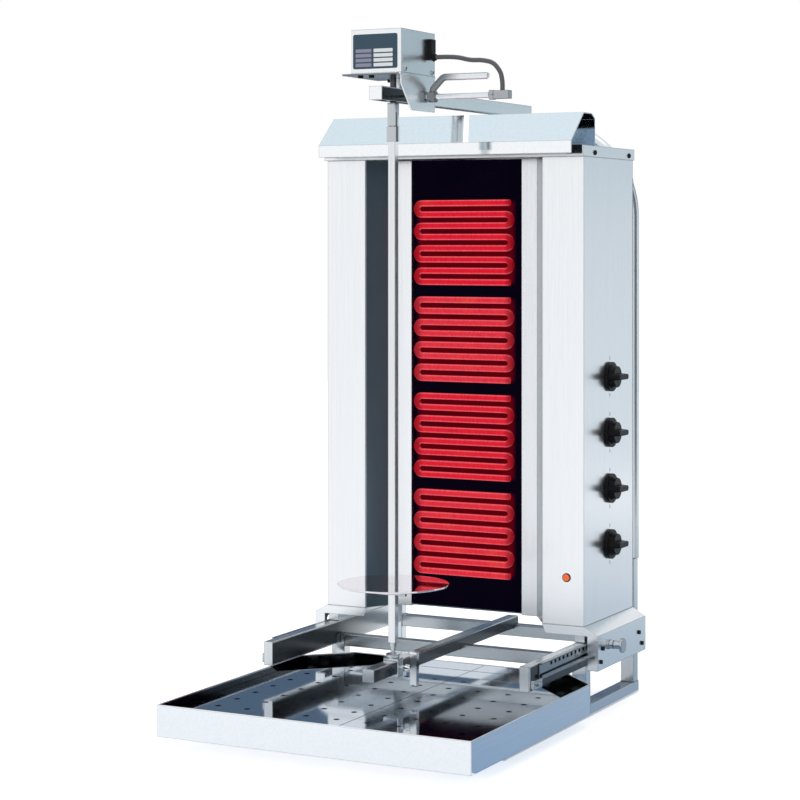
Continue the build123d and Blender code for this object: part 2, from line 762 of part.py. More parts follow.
def make_motor_head():
    """Motor cradle, motor housing with its gear motor, supply plug and lead."""
    plate_bottom = motor_bottom - cradle_sheet
    cheek = [(motor_front + 1, plate_bottom), (motor_front + 1, arm_top + 3),
             (motor_front + cheek_slope, cradle_bottom), (motor_rear - 2, cradle_bottom),
             (motor_rear - 2, plate_bottom)]
    lug = [(pivot_y - lug_half_depth, plate_bottom), (pivot_y - lug_half_depth, arm_bottom),
           (pivot_y + lug_half_depth, arm_bottom), (pivot_y + lug_half_depth, plate_bottom)]
    lug_x = -arm_width / 2 - fit - cradle_sheet
    with BuildPart() as cradle:
        with BuildSketch(Plane.XY.offset(plate_bottom)):
            with BuildLine():
                Polyline([(cradle_left, motor_front - 1), (motor_half_width, motor_front - 1),
                          (motor_half_width, motor_rear), (cradle_left, motor_rear)], close=True)
            make_face()
            with Locations((0, spit_y)):
                Circle(shaft_radius + 1, mode=Mode.SUBTRACT)
        extrude(amount=cradle_sheet)
        for x, outline in ((lug_x, lug), (motor_half_width - cradle_sheet, cheek)):
            with BuildSketch(Plane.YZ.offset(x)):
                with BuildLine():
                    Polyline(outline, close=True)
                make_face()
                with Locations((pivot_y, pivot_z)):
                    Circle(pivot_radius, mode=Mode.SUBTRACT)
            extrude(amount=cradle_sheet)
        with Locations((0, motor_rear - cradle_sheet - spacer_length / 2, (arm_top + plate_bottom) / 2)):
            Box(arm_width, spacer_length, plate_bottom - arm_top)
    finish(cradle.part, "motor_cradle")
    with BuildPart() as housing:
        with Locations((0, (motor_front + motor_rear) / 2, motor_bottom + motor_height / 2)):
            Box(2 * motor_half_width, motor_rear - motor_front, motor_height)
        fillet(housing.edges().filter_by(Axis.Z), 2 * edge_round)
        offset(amount=-motor_wall, openings=housing.faces().sort_by(Axis.Z)[0])
    finish(housing.part, "motor_housing")
    with BuildPart() as motor:
        with Locations((0, spit_y, motor_bottom + gearbox_height / 2)):
            Box(gearbox_width, gearbox_width, gearbox_height)
        with Locations((0, spit_y, motor_bottom + gearbox_height + motor_can_height / 2)):
            Cylinder(motor_can_radius, motor_can_height)
        with Locations((0, spit_y, motor_bottom)):
            Cylinder(shaft_radius + fit, 8, mode=Mode.SUBTRACT)
    finish(motor.part, "gear_motor")
    with BuildPart() as rod:
        with BuildSketch(Plane.YZ.offset(lug_x - fit - pivot_nut)):
            with Locations((pivot_y, pivot_z)):
                Circle(pivot_radius)
        extrude(amount=pivot_end - lug_x + fit + pivot_nut)
        with BuildSketch(Plane.YZ.offset(lug_x - fit - pivot_nut)):
            with Locations((pivot_y, pivot_z)):
                RegularPolygon(pivot_nut_radius, 6)
        extrude(amount=pivot_nut)
    finish(rod.part, "pivot_rod")
    collar_x = motor_half_width + collar_gap
    handle_start = (collar_x + collar_length / 2, pivot_y, pivot_z + pivot_radius + collar_wall - 1)
    with BuildPart() as handle:
        with BuildSketch(Plane.YZ.offset(collar_x)):
            with Locations((pivot_y, pivot_z)):
                Circle(pivot_radius + collar_wall)
                Circle(pivot_radius + fit / 2, mode=Mode.SUBTRACT)
        extrude(amount=collar_length)
        with BuildLine() as path:
            FilletPolyline(handle_start, (collar_x + 7, pivot_y, pivot_z + 13),
                           (collar_x + 24, pivot_y, handle_z), (handle_end, pivot_y, handle_z),
                           radius=[4, 12])
        with BuildSketch(Plane(origin=handle_start, z_dir=(2, 0, 5))):
            Circle(handle_radius)
        sweep(path=path.wires()[0])
        fillet(handle.faces().sort_by(Axis.X)[-1].edges(), 2.5)
        with BuildSketch(Plane.YZ.offset(collar_x - 2)):
            with Locations((pivot_y, pivot_z)):
                Circle(pivot_radius + fit / 2)
        extrude(amount=2 * collar_length + 18, mode=Mode.SUBTRACT)
    finish(handle.part, "release_handle")
    make_motor_lead()


def make_motor_lead():
    """The supply plug with its boot, the lead, and the gland block that it ends in."""
    lead_start = motor_half_width + plug_reach + boot_length
    with BuildPart() as plug:
        with BuildSketch(Plane.YZ.offset(motor_half_width)):
            with Locations((plug_y, plug_z)):
                RectangleRounded(plug_depth, plug_height, edge_round)
        extrude(amount=plug_reach, taper=4)
        with BuildSketch(Plane.YZ.offset(motor_half_width + plug_reach)):
            with Locations((plug_y, lead_z)):
                Circle(boot_radius)
        with BuildSketch(Plane.YZ.offset(lead_start)):
            with Locations((plug_y, lead_z)):
                Circle(lead_radius + 1)
        loft()
    finish(plug.part, "motor_plug")
    gland_x = pivot_end + fit + gland_nut + gland_length / 2
    points = [(lead_start, plug_y, lead_z), (lead_start + 16, plug_y, lead_z),
              (lead_start + 38, plug_y - 1, lead_z - 1.5), (lead_start + 59, plug_y - 2, lead_z - 7),
              (gland_x - 35, plug_y - 3, lead_z - 7.4), (gland_x - 15, pivot_y, lead_z - 12),
              (gland_x - 3, pivot_y, lead_z - 27), (gland_x, pivot_y, lead_z - 42),
              (gland_x, pivot_y, pivot_z + gland_height / 2)]
    radii = cord_radii(points)
    print("lead radii", [round(r, 1) for r in radii])
    with BuildPart() as lead:
        with BuildLine() as path:
            FilletPolyline(*points, radius=radii)
        first = Vector(*points[1]) - Vector(*points[0])
        with BuildSketch(Plane(origin=points[0], z_dir=first)):
            Circle(lead_radius)
        sweep(path=path.wires()[0])
    finish(lead.part, "motor_lead")
    print("lead volume ratio", round(lead.part.volume / (math.pi * lead_radius ** 2 * path.wires()[0].length), 4))
    with BuildPart() as gland:
        with BuildSketch(Plane.YZ.offset(pivot_end + fit)):
            with Locations((pivot_y, pivot_z)):
                RegularPolygon(gland_height / 2 + 2, 6)
        extrude(amount=gland_nut)
        with Locations((gland_x, pivot_y, pivot_z)):
            Box(gland_length, gland_height, gland_height)
    finish(gland.part, "lead_gland")


def cord_radii(points):
    """The largest bend radius at each inner point that its two runs allow."""
    radii = []
    for a, b, c in zip(points, points[1:], points[2:]):
        first = Vector(*b) - Vector(*a)
        second = Vector(*c) - Vector(*b)
        turn = math.radians(first.get_angle(second))
        radii.append(0.45 * min(first.length, second.length) / math.tan(turn / 2))
    return radii


def make_tray():
    """The drip tray with cut rear corners and its two perforated floor plates."""
    half = tray_half_width
    outline = [(-half, tray_front), (half, tray_front), (half, tray_rear - tray_corner),
               (half - tray_corner, tray_rear), (-half + tray_corner, tray_rear),
               (-half, tray_rear - tray_corner)]
    bottom = base_rail_height
    with BuildPart() as tray:
        with BuildSketch(Plane.XY.offset(bottom)):
            with BuildLine():
                Polyline(outline, close=True)
            make_face()
        extrude(amount=tray_height)
        offset(amount=-tray_wall, openings=tray.faces().sort_by(Axis.Z)[-1])
    finish(tray.part, "drip_tray")
    gap = tray_wall + floor_gap
    leg_top = floor_top - floor_sheet
    leg_bottom = bottom + tray_wall + fit
    front_y = tray_front + gap
    rear_y = tray_rear - gap
    for side in (-1, 1):
        edge = side * (half - gap)
        seam = floor_seam_x + side * floor_gap / 2
        corner_x = edge - side * floor_corner
        with BuildPart() as plate:
            with BuildSketch(Plane.XY.offset(floor_top - floor_sheet)):
                with BuildLine():
                    Polyline([(seam, front_y), (edge, front_y), (edge, rear_y - floor_corner),
                              (corner_x, rear_y), (seam, rear_y)], close=True)
                make_face()
                with Locations((0, hole_rows_center_y)):
                    with GridLocations(hole_pitch_x, hole_pitch_y, hole_columns, hole_rows):
                        Circle(hole_radius, mode=Mode.SUBTRACT)
            extrude(amount=floor_sheet)
            for y, far in ((front_y + sheet, edge), (rear_y - sheet, corner_x)):
                leg_length = abs(far - seam) - 2 * leg_inset
                with Locations(((seam + far) / 2, y, (leg_top + leg_bottom) / 2)):
                    Box(leg_length, sheet, leg_top - leg_bottom)
        finish(plate.part, f"tray_floor_{side_name(side)}")


make_base_frame()
for channel_side in (-1, 1):
    make_slide_channel(channel_side)
    make_carriage_cover(channel_side)
make_tower()
for heater_index in range(heater_groups):
    make_heater(heater_index)
make_latch()
make_controls()
make_spit()
make_foot_bearing()
make_hoop_and_arm()
make_motor_head()
make_tray()
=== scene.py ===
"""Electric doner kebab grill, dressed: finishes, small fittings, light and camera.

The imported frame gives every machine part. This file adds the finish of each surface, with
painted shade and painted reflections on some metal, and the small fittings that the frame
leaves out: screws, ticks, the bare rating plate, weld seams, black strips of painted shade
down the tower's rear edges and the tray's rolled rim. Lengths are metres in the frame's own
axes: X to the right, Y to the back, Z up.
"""
from __future__ import annotations

import json
import logging
import math
from collections.abc import Iterable
from dataclasses import dataclass, field, replace
from enum import Enum

import bmesh
import bpy
from mathutils import Matrix, Vector

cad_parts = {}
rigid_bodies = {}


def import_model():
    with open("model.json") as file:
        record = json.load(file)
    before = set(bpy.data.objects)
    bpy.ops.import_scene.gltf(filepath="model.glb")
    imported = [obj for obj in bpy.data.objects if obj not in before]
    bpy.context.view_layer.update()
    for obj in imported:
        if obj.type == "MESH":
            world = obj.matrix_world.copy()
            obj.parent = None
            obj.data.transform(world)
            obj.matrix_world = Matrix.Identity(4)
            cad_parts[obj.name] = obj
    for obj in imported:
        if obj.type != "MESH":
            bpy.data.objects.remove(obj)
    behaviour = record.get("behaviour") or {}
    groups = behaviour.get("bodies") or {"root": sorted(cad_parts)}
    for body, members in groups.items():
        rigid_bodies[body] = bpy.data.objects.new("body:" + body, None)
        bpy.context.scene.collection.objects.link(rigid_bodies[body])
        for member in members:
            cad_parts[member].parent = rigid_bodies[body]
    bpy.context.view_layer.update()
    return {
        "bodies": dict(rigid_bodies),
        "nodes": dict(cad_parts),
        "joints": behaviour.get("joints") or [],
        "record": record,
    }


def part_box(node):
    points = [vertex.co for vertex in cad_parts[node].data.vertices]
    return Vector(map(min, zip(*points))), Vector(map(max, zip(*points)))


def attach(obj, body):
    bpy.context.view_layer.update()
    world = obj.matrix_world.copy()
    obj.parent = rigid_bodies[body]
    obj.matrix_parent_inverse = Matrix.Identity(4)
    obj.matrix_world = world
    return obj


LOG = logging.getLogger("doner_grill")
MM = 0.001

PHOTO_PIXELS = 800
FOCAL_PIXELS = 2158.6
HORIZON_PIXEL = 240.0
CAMERA_PLACE = (1.5385, -3.1797, 0.7629)
CAMERA_YAW = 27.2
SENSOR_WIDTH = 36.0

Corner = tuple[float, float, float]
Colour = tuple[float, float, float]
Span = tuple[float, float]
Stops = tuple[tuple[float, Colour], ...]
Inputs = tuple[tuple[str, float | None], ...]
Socket = bpy.types.NodeSocket
Sockets = bpy.types.NodeOutputs

WHITE = (1.0, 1.0, 1.0)
NO_GLOW = (0.0, 0.0, 0.0)
# Near-black of the painted shade lines along metal edges.
EDGE_SHADE_COLOUR = (0.03, 0.045, 0.05)
FACE_SOFT = (0.3 * MM, 1 * MM, 1 * MM)


class Grain(Enum):
    """The direction in which a sheet or bar was brushed, as the noise's stretch."""

    UPRIGHT = (60.0, 60.0, 1.0)
    ACROSS = (1.0, 60.0, 60.0)
    DEEP = (60.0, 1.0, 60.0)
    ROLLED = (14.0, 14.0, 14.0)


class Facing(Enum):
    """The direction that a screw's head looks, as a turn from upright in degrees."""

    RIGHT = ("Y", 90)
    LEFT = ("Y", -90)
    BACK = ("X", -90)
    DOWN = ("X", 180)

    def turn(self) -> Matrix:
        """Returns the rotation that turns an upright form this way."""
        axis, degrees = self.value
        return Matrix.Rotation(math.radians(degrees), 4, axis)


class NodeGraph:
    """A thin helper that adds and joins shader nodes in one tree."""

    def __init__(self, tree: bpy.types.NodeTree) -> None:
        """Keeps the tree that nodes are added to."""
        self.tree = tree

    def feed(self, socket: Socket, value: object) -> None:
        """Gives an input its value.

        Args:
            socket: The input.
            value: An output to join, a number, or the three numbers of a vector or colour.
        """
        if isinstance(value, Socket):
            self.tree.links.new(value, socket)
        else:
            socket.default_value = (*value, 1) if socket.type == "RGBA" else value

    def fill(self, node: bpy.types.Node, inputs: dict[str | int, object]) -> None:
        """Gives a node's inputs their values, by name or number."""
        for key, value in inputs.items():
            self.feed(node.inputs[key], value)

    def add(self, kind: str, inputs: dict[str | int, object] | None = None,
            **attributes: object) -> bpy.types.Node:
        """Adds one node.

        Args:
            kind: The node's type, without the ShaderNode prefix.
            inputs: Values of its inputs, by name or number.
            attributes: Attributes to set on the node.

        Returns:
            The new node.
        """
        node = self.tree.nodes.new("ShaderNode" + kind)
        for name, value in attributes.items():
            setattr(node, name, value)
        self.fill(node, inputs or {})
        return node

    def ramp(self, value: Socket, stops: Stops) -> Socket:
        """Turns a value into a colour.

        Args:
            value: The socket that holds the value.
            stops: Positions and colours in rising order.

        Returns:
            The colour's socket.
        """
        node = self.add("ValToRGB", {"Fac": value})
        while len(node.color_ramp.elements) < len(stops):
            node.color_ramp.elements.new(0.5)
        for element, (position, colour) in zip(node.color_ramp.elements, stops):
            element.position = position
            element.color = (*colour, 1)
        return node.outputs["Color"]

    def blend(self, kind: str, factor: object, first: object, second: object) -> Socket:
        """Returns the blend of two colours, each a socket or three numbers."""
        return self.add("Mix", {0: factor, 6: first, 7: second}, data_type="RGBA",
                        blend_type=kind).outputs[2]

    def math(self, operation: str, first: object, second: object = 0.0,
             clamp: bool = False) -> Socket:
        """Returns a sum of sockets or numbers; clamp keeps it between zero and one."""
        return self.add("Math", {0: first, 1: second}, operation=operation,
                        use_clamp=clamp).outputs[0]

    def vector(self, operation: str, first: object, second: object = (0.0, 0.0, 0.0),
               result: str = "Vector") -> Socket:
        """Returns a sum of vectors; its result is Value where that is a number."""
        return self.add("VectorMath", {0: first, 1: second}, operation=operation).outputs[result]

    def here(self) -> Socket:
        """Returns the shaded point in the object's own space."""
        return self.add("TexCoord").outputs["Object"]

    def split(self, vector: Socket) -> Sockets:
        """Returns a vector's X, Y and Z."""
        return self.add("SeparateXYZ", {0: vector}).outputs

    def noise(self, place: Socket, **inputs: object) -> Socket:
        """Returns a noise texture's value, with its other inputs by name."""
        return self.add("TexNoise", {"Vector": place, **inputs}).outputs["Fac"]

    def bump(self, height: Socket, strength: float, distance: float) -> Socket:
        """Returns the normal of a fine relief."""
        return self.add("Bump", {"Height": height, "Strength": strength,
                                 "Distance": distance}).outputs["Normal"]


def open_nodes(holder: bpy.types.Material | bpy.types.World) -> NodeGraph:
    """Returns the graph of a new material's or world's own nodes."""
    holder.use_nodes = True
    return NodeGraph(holder.node_tree)


@dataclass(frozen=True)
class ShaderGroup:
    """A shader node group with named inputs and one output, built once.

    An input is a name and a number, or None where it takes a vector.
    """

    name: str
    output: str
    inputs: Inputs

    def tree(self) -> bpy.types.NodeTree:
        """Finds the group's tree, or builds it on the first call.

        Returns:
            The tree.
        """
        found = bpy.data.node_groups.get(self.name)
        if found is not None:
            return found
        made = bpy.data.node_groups.new(self.name, "ShaderNodeTree")
        for name, value in self.inputs:
            kind = "NodeSocketVector" if value is None else "NodeSocketFloat"
            socket = made.interface.new_socket(name=name, in_out="INPUT", socket_type=kind)
            if value is not None:
                socket.default_value = value
        made.interface.new_socket(name=self.output, in_out="OUTPUT", socket_type="NodeSocketFloat")
        graph = NodeGraph(made)
        given = made.nodes.new("NodeGroupInput").outputs
        end = made.nodes.new("NodeGroupOutput")
        graph.fill(end, {self.output: self.value(graph, given)})
        return made

    def value(self, graph: NodeGraph, given: Sockets) -> Socket:
        """Builds the group's nodes and returns what it puts out."""
        raise NotImplementedError

    def place(self, graph: NodeGraph, **values: object) -> Socket:
        """Puts the group in a material.

        Args:
            graph: The material's graph.
            values: Values of the group's inputs.

        Returns:
            The socket of the group's output.
        """
        node = graph.add("Group", node_tree=self.tree())
        graph.fill(node, values)
        return node.outputs[self.output]


@dataclass(frozen=True)
class BrushedGrain(ShaderGroup):
    """Fine streaks stretched along the brushing direction."""

    name: str = "brushed_grain"
    output: str = "Streaks"
    inputs: Inputs = (("Stretch", None), ("Scale", 40.0))
    coarse_scale: float = 0.18
    fine_share: float = 0.65
    coarse_share: float = 0.35

    def value(self, graph: NodeGraph, given: Sockets) -> Socket:
        """Mixes stretched noise at two scales.

        Args:
            graph: The group's graph.
            given: The group's inputs.

        Returns:
            A mask around one half.
        """
        place = graph.vector("MULTIPLY", graph.here(), given["Stretch"])
        fine = graph.noise(place, Scale=given["Scale"], Detail=5.0, Roughness=0.65)
        wide = graph.math("MULTIPLY", given["Scale"], self.coarse_scale)
        coarse = graph.noise(place, Scale=wide, Detail=2.0)
        return graph.math("ADD", graph.math("MULTIPLY", fine, self.fine_share),
                          graph.math("MULTIPLY", coarse, self.coarse_share))


@dataclass(frozen=True)
class HandlingMarks(ShaderGroup):
    """Soft patches where hands and cloths have changed the gloss."""

    name: str = "handling_marks"
    output: str = "Marks"
    inputs: Inputs = (("Scale", 6.0), ("Amount", 0.1))

    def value(self, graph: NodeGraph, given: Sockets) -> Socket:
        """Returns broad noise around zero."""
        noise = graph.noise(graph.here(), Scale=given["Scale"], Detail=6.0, Distortion=0.6)
        return graph.math("MULTIPLY", graph.math("SUBTRACT", noise, 0.5), given["Amount"])


@dataclass(frozen=True)
class BoxMask(ShaderGroup):
    """A soft mask that is one inside a box of the object's own space."""

    name: str = "box_mask"
    output: str = "Inside"
    inputs: Inputs = (("Centre", None), ("Half", None), ("Softness", None))

    def value(self, graph: NodeGraph, given: Sockets) -> Socket:
        """Works out the mask from the distance past each face of the box.

        Args:
            graph: The group's graph.
            given: The group's inputs.

        Returns:
            The mask.
        """
        away = graph.vector("ABSOLUTE", graph.vector("SUBTRACT", graph.here(), given["Centre"]))
        room = graph.vector("SUBTRACT", given["Half"], away)
        share = graph.split(graph.vector("DIVIDE", room, given["Softness"]))
        x, y, z = (graph.math("ADD", share[axis], 0.0, clamp=True) for axis in "XYZ")
        return graph.math("MULTIPLY", graph.math("MULTIPLY", x, y), z)


@dataclass(frozen=True)
class EdgeLine(ShaderGroup):
    """A mask that is one along the folded and cut edges of a sheet, where steel gets painted dark
    lines of shade.
    """

    name: str = "painted_edge_shade"
    output: str = "Edge"
    inputs: Inputs = (("Amount", 0.5),)
    reach: float = 2.0 * MM
    contrast: float = 8.0

    def value(self, graph: NodeGraph, given: Sockets) -> Socket:
        """Works out the mask from the turn between the rounded and the flat normal.

        Args:
            graph: The group's graph.
            given: The group's inputs.

        Returns:
            The mask.
        """
        rounded = graph.add("Bevel", {"Radius": self.reach}, samples=4).outputs[0]
        flat = graph.add("NewGeometry").outputs["Normal"]
        turn = graph.math("SUBTRACT", 1.0, graph.vector("DOT_PRODUCT", rounded, flat, "Value"))
        return graph.math("MULTIPLY", graph.math("MULTIPLY", turn, self.contrast, clamp=True),
                          given["Amount"])


GRAIN = BrushedGrain()
MARKS = HandlingMarks()
INSIDE = BoxMask()
EDGES = EdgeLine()


@dataclass(frozen=True)
class Shade:
    """A box of painted shade in metal's colour, in place of the shadows that fall on it and the
    dark things that it reflects.
    """

    x: Span
    y: Span
    z: Span
    soft: Corner
    amount: float

    def mask(self, graph: NodeGraph) -> Socket:
        """Works out the darkening's strength.

        Args:
            graph: The material's graph.

        Returns:
            The strength's socket.
        """
        spans = (self.x, self.y, self.z)
        box = INSIDE.place(graph, Centre=tuple((low + high) / 2 for low, high in spans),
                           Half=tuple((high - low) / 2 for low, high in spans),
                           Softness=self.soft)
        return graph.math("MULTIPLY", box, self.amount)


def around(level: float, half: float = 0.6 * MM) -> Span:
    """Returns the span on both sides of a level, by default one that holds a thin face."""
    return level - half, level + half


def tube_face(x: float, y: Span, low: Vector, high: Vector, amount: float) -> Shade:
    """Returns the shade of an upright face of a tube that runs from front to back."""
    return Shade(around(x), y, (low[2], high[2] - 1 * MM), FACE_SOFT, amount)


@dataclass(frozen=True)
class Finish:
    """A surface finish that makes one Blender material."""

    name: str
    slot: str

    def material(self) -> bpy.types.Material:
        """Finds the finish's material, or makes it on the first call.

        Returns:
            The material.
        """
        found = bpy.data.materials.get(self.name)
        if found is None:
            found = bpy.data.materials.new(self.name)
            graph = open_nodes(found)
            graph.fill(found.node_tree.nodes["Principled BSDF"], self.surface(graph))
        return found

    def surface(self, graph: NodeGraph) -> dict[str, object]:
        """Returns the values of the shader's inputs, by name."""
        raise NotImplementedError


@dataclass(frozen=True)
class Steel(Finish):
    """Bare stainless steel, brushed or polished."""

    colour: Colour
    roughness: float
    spread: float
    grain: Grain
    grain_scale: float
    grain_bump: float = 0.02
    marks: float = 0.08
    # Strength of the painted dark edge lines.
    edge: float = 0.7
    # Boxes of painted shade and painted dark reflection, and the colour that they paint.
    shades: tuple[Shade, ...] = ()
    shade_colour: Colour = (0.018, 0.026, 0.032)
    streak_tone: float = 0.93

    def variant(self, name: str, *shades: Shade, **changes: object) -> Steel:
        """Returns a steel with another name, its own shades and other values."""
        return replace(self, name=name, shades=shades, **changes)

    def surface(self, graph: NodeGraph) -> dict[str, object]:
        """Varies colour, gloss and height by grain and handling marks, and paints dark edge lines
        and boxes of shade into the colour.

        Args:
            graph: The material's graph.

        Returns:
            The shader's inputs.
        """
        streaks = GRAIN.place(graph, Stretch=self.grain.value, Scale=self.grain_scale)
        swing = graph.math("MULTIPLY", graph.math("SUBTRACT", streaks, 0.5), self.spread)
        rough = graph.math("ADD", graph.math("ADD", swing, self.roughness),
                           MARKS.place(graph, Scale=7.0, Amount=self.marks))
        dull = tuple(part * self.streak_tone for part in self.colour)
        colour = graph.ramp(streaks, ((0.35, dull), (0.62, self.colour)))
        # Painted shade: dark lines along the edges, then each box of painted shade and dark
        # reflection.
        colour = graph.blend("MIX", EDGES.place(graph, Amount=self.edge), colour, EDGE_SHADE_COLOUR)
        for shade in self.shades:
            colour = graph.blend("MIX", shade.mask(graph), colour, self.shade_colour)
        return {"Base Color": colour, "Metallic": 1.0, "Roughness": rough,
                "Normal": graph.bump(streaks, self.grain_bump, 0.2 * MM)}


@dataclass(frozen=True)
class Moulded(Finish):
    """Moulded plastic, paint or rubber with a fine skin texture."""

    colour: Colour
    worn: Colour
    roughness: float
    skin_scale: float = 900.0
    skin_bump: float = 0.05
    specular: float = 0.22
    worn_share: float = 0.35
    gloss_marks: float = 0.15

    def surface(self, graph: NodeGraph) -> dict[str, object]:
        """Mixes two near colours by handling marks and adds the skin's relief.

        Args:
            graph: The material's graph.

        Returns:
            The shader's inputs.
        """
        marks = MARKS.place(graph, Scale=25.0, Amount=1.0)
        colour = graph.ramp(graph.math("ADD", marks, self.worn_share),
                            ((0.0, self.colour), (1.0, self.worn)))
        rough = graph.math("ADD", graph.math("MULTIPLY", marks, self.gloss_marks), self.roughness)
        skin = graph.noise(graph.here(), Scale=self.skin_scale)
        return {"Base Color": colour, "Roughness": rough, "Specular IOR Level": self.specular,
                "Normal": graph.bump(skin, self.skin_bump, 0.1 * MM)}


@dataclass(frozen=True)
class Glow(Finish):
    """A heater tube that glows red, with painted highlight lines along its flanks, painted shade at
    its top and bottom, and dim, cooler bends.
    """

    lift: float
    left: float
    right: float
    core: Colour = (0.80, 0.010, 0.034)
    pale: Colour = (0.96, 0.13, 0.16)
    dark: Colour = (0.30, 0.002, 0.008)
    hot: Colour = (1.0, 0.30, 0.07)
    base: Colour = (0.02, 0.005, 0.005)
    weave: Corner = (420.0, 60.0, 120.0)
    hot_share: float = 0.08
    left_bend: float = 20 * MM
    right_bend: float = 16 * MM

    def surface(self, graph: NodeGraph) -> dict[str, object]:
        """Colours the tube with painted highlights and shade by which way its surface faces, and by
        its heat and its place along the run.

        Args:
            graph: The material's graph.

        Returns:
            The shader's inputs.
        """
        here = graph.here()
        lean = graph.split(graph.add("NewGeometry").outputs["Normal"])
        core = tuple(c + (p - c) * self.lift for c, p in zip(self.core, self.pale))
        # Painted highlight bands on the tube's flanks and painted shade at its top and bottom, by
        # the normal's height.
        glow = graph.ramp(graph.math("ABSOLUTE", lean["Z"]),
                          ((0.0, core), (0.48, core), (0.74, self.pale), (0.86, self.pale),
                           (0.97, self.dark), (1.0, self.dark)))
        ticks = graph.noise(graph.vector("MULTIPLY", here, self.weave), Scale=1.0, Detail=3.0)
        tint = graph.ramp(ticks, ((0.30, (0.72, 0.62, 0.62)), (0.70, WHITE)))
        woven = graph.blend("MULTIPLY", 1.0, glow, tint)
        heat = graph.ramp(graph.noise(here, Scale=14.0, Detail=1.0),
                          ((0.62, NO_GLOW), (0.80, (0.5, 0.5, 0.5))))
        warm = graph.blend("MIX", graph.math("MULTIPLY", heat, self.hot_share + self.lift), woven,
                           self.hot)
        along = graph.split(here)["X"]
        past_left = graph.math("DIVIDE", graph.math("SUBTRACT", along, self.left), self.left_bend)
        past_right = graph.math("DIVIDE", graph.math("SUBTRACT", self.right, along),
                                self.right_bend)
        cool = graph.ramp(graph.math("MINIMUM", past_left, past_right, clamp=True),
                          ((0.0, (0.28, 0.20, 0.20)), (0.6, (0.62, 0.6, 0.6)), (1.0, WHITE)))
        return {"Base Color": self.base, "Roughness": 0.7, "Specular IOR Level": 0.02,
                "Emission Color": graph.blend("MULTIPLY", 1.0, warm, cool),
                "Emission Strength": 1.0}


@dataclass(frozen=True)
class DarkPanel(Finish):
    """The dark enamel panel behind the heaters, lit maroon between their runs."""

    heaters: tuple[tuple[Span, Span], ...]
    depth: float
    soft: float = 8 * MM
    glow: Stops = ((0.0, (0.0014, 0.0006, 0.0045)), (0.35, (0.030, 0.0, 0.006)),
                   (1.0, (0.11, 0.0, 0.003)))
    soot: Stops = ((0.3, (0.0010, 0.0010, 0.0015)), (0.8, (0.003, 0.002, 0.003)))

    def surface(self, graph: NodeGraph) -> dict[str, object]:
        """Adds the heaters' light where each of them stands before the panel.

        Args:
            graph: The material's graph.

        Returns:
            The shader's inputs.
        """
        noise = graph.noise(graph.here(), Scale=16.0, Detail=4.0)
        total = 0.0
        for across, up in self.heaters:
            field_box = Shade(across, around(self.depth, 50 * MM), up, (self.soft,) * 3, 1.0)
            total = graph.math("ADD", total, field_box.mask(graph))
        lit = graph.math("MULTIPLY", total, graph.math("ADD", noise, 0.4))
        return {"Base Color": graph.ramp(noise, self.soot), "Roughness": 0.8,
                "Specular IOR Level": 0.0, "Emission Color": graph.ramp(lit, self.glow),
                "Emission Strength": 1.0}


@dataclass(frozen=True)
class Lens(Finish):
    """The pilot lamp's lit lens with its moulded facets."""

    facets: Stops = ((0.0, (0.95, 0.22, 0.04)), (1.0, (0.75, 0.05, 0.01)))

    def surface(self, graph: NodeGraph) -> dict[str, object]:
        """Mixes two reds by a fine facet pattern and lights them.

        Args:
            graph: The material's graph.

        Returns:
            The shader's inputs.
        """
        cells = graph.add("TexVoronoi", {"Vector": graph.here(), "Scale": 500.0})
        red = graph.ramp(cells.outputs["Distance"], self.facets)
        return {"Base Color": red, "Roughness": 0.12, "Emission Color": red,
                "Emission Strength": 0.35}


SHEET = Steel("satin_sheet", "tower_sheet", (0.88, 0.90, 0.93), 0.24, 0.10, Grain.UPRIGHT, 30.0)
SHEET_ACROSS = SHEET.variant("satin_sheet_across", colour=(0.86, 0.89, 0.92), grain=Grain.ACROSS)
TUBE_DEEP = Steel("frame_tube_deep", "frame_tube", (0.66, 0.70, 0.73), 0.20, 0.14, Grain.DEEP, 30.0)
# The cross bars' steel is a darker copy of the tube steel: painted shade.
TUBE_ACROSS = TUBE_DEEP.variant("frame_tube_across", colour=(0.50, 0.54, 0.57), grain=Grain.ACROSS)
TUBE_UPRIGHT = TUBE_DEEP.variant("frame_tube_upright", colour=(0.68, 0.72, 0.75),
                                 grain=Grain.UPRIGHT)
MIRROR = Steel("polished_sheet", "polished_sheet", (0.84, 0.88, 0.92), 0.07, 0.02, Grain.DEEP, 20.0,
               0.006, 0.03)
BRIGHT = Steel("bright_bar", "spit_steel", (0.78, 0.80, 0.82), 0.12, 0.06, Grain.UPRIGHT, 30.0,
               edge=0.3)
# A faint pink in the disc's steel: a painted reflection of the glowing heaters.
DISC = Steel("polished_disc", "spit_steel", (0.90, 0.86, 0.90), 0.04, 0.02, Grain.ACROSS, 20.0,
             0.004, 0.03)
CAST = Steel("cast_fitting", "cast_grey", (0.42, 0.44, 0.46), 0.42, 0.10, Grain.ROLLED, 60.0, 0.2)
ZINC = Steel("zinc_fastener", "frame_tube", (0.50, 0.53, 0.55), 0.30, 0.10, Grain.ROLLED, 80.0)
BLACK = Moulded("black_moulding", "black_plastic", (0.004, 0.004, 0.005), (0.010, 0.010, 0.012),
                0.34, specular=0.1)
CABLE = Moulded("black_cable", "black_cable", (0.010, 0.014, 0.018), (0.02, 0.025, 0.03), 0.40,
                500.0, specular=0.06)
INK = Moulded("black_ink", "black_plastic", (0.02, 0.02, 0.02), (0.04, 0.04, 0.04), 0.5)
SLATE = Moulded("slate_plate", "black_plastic", (0.045, 0.085, 0.125), (0.055, 0.10, 0.145), 0.4)
BLANK = Moulded("blank_field", "tower_sheet", (0.90, 0.92, 0.94), (0.94, 0.95, 0.96), 0.45)
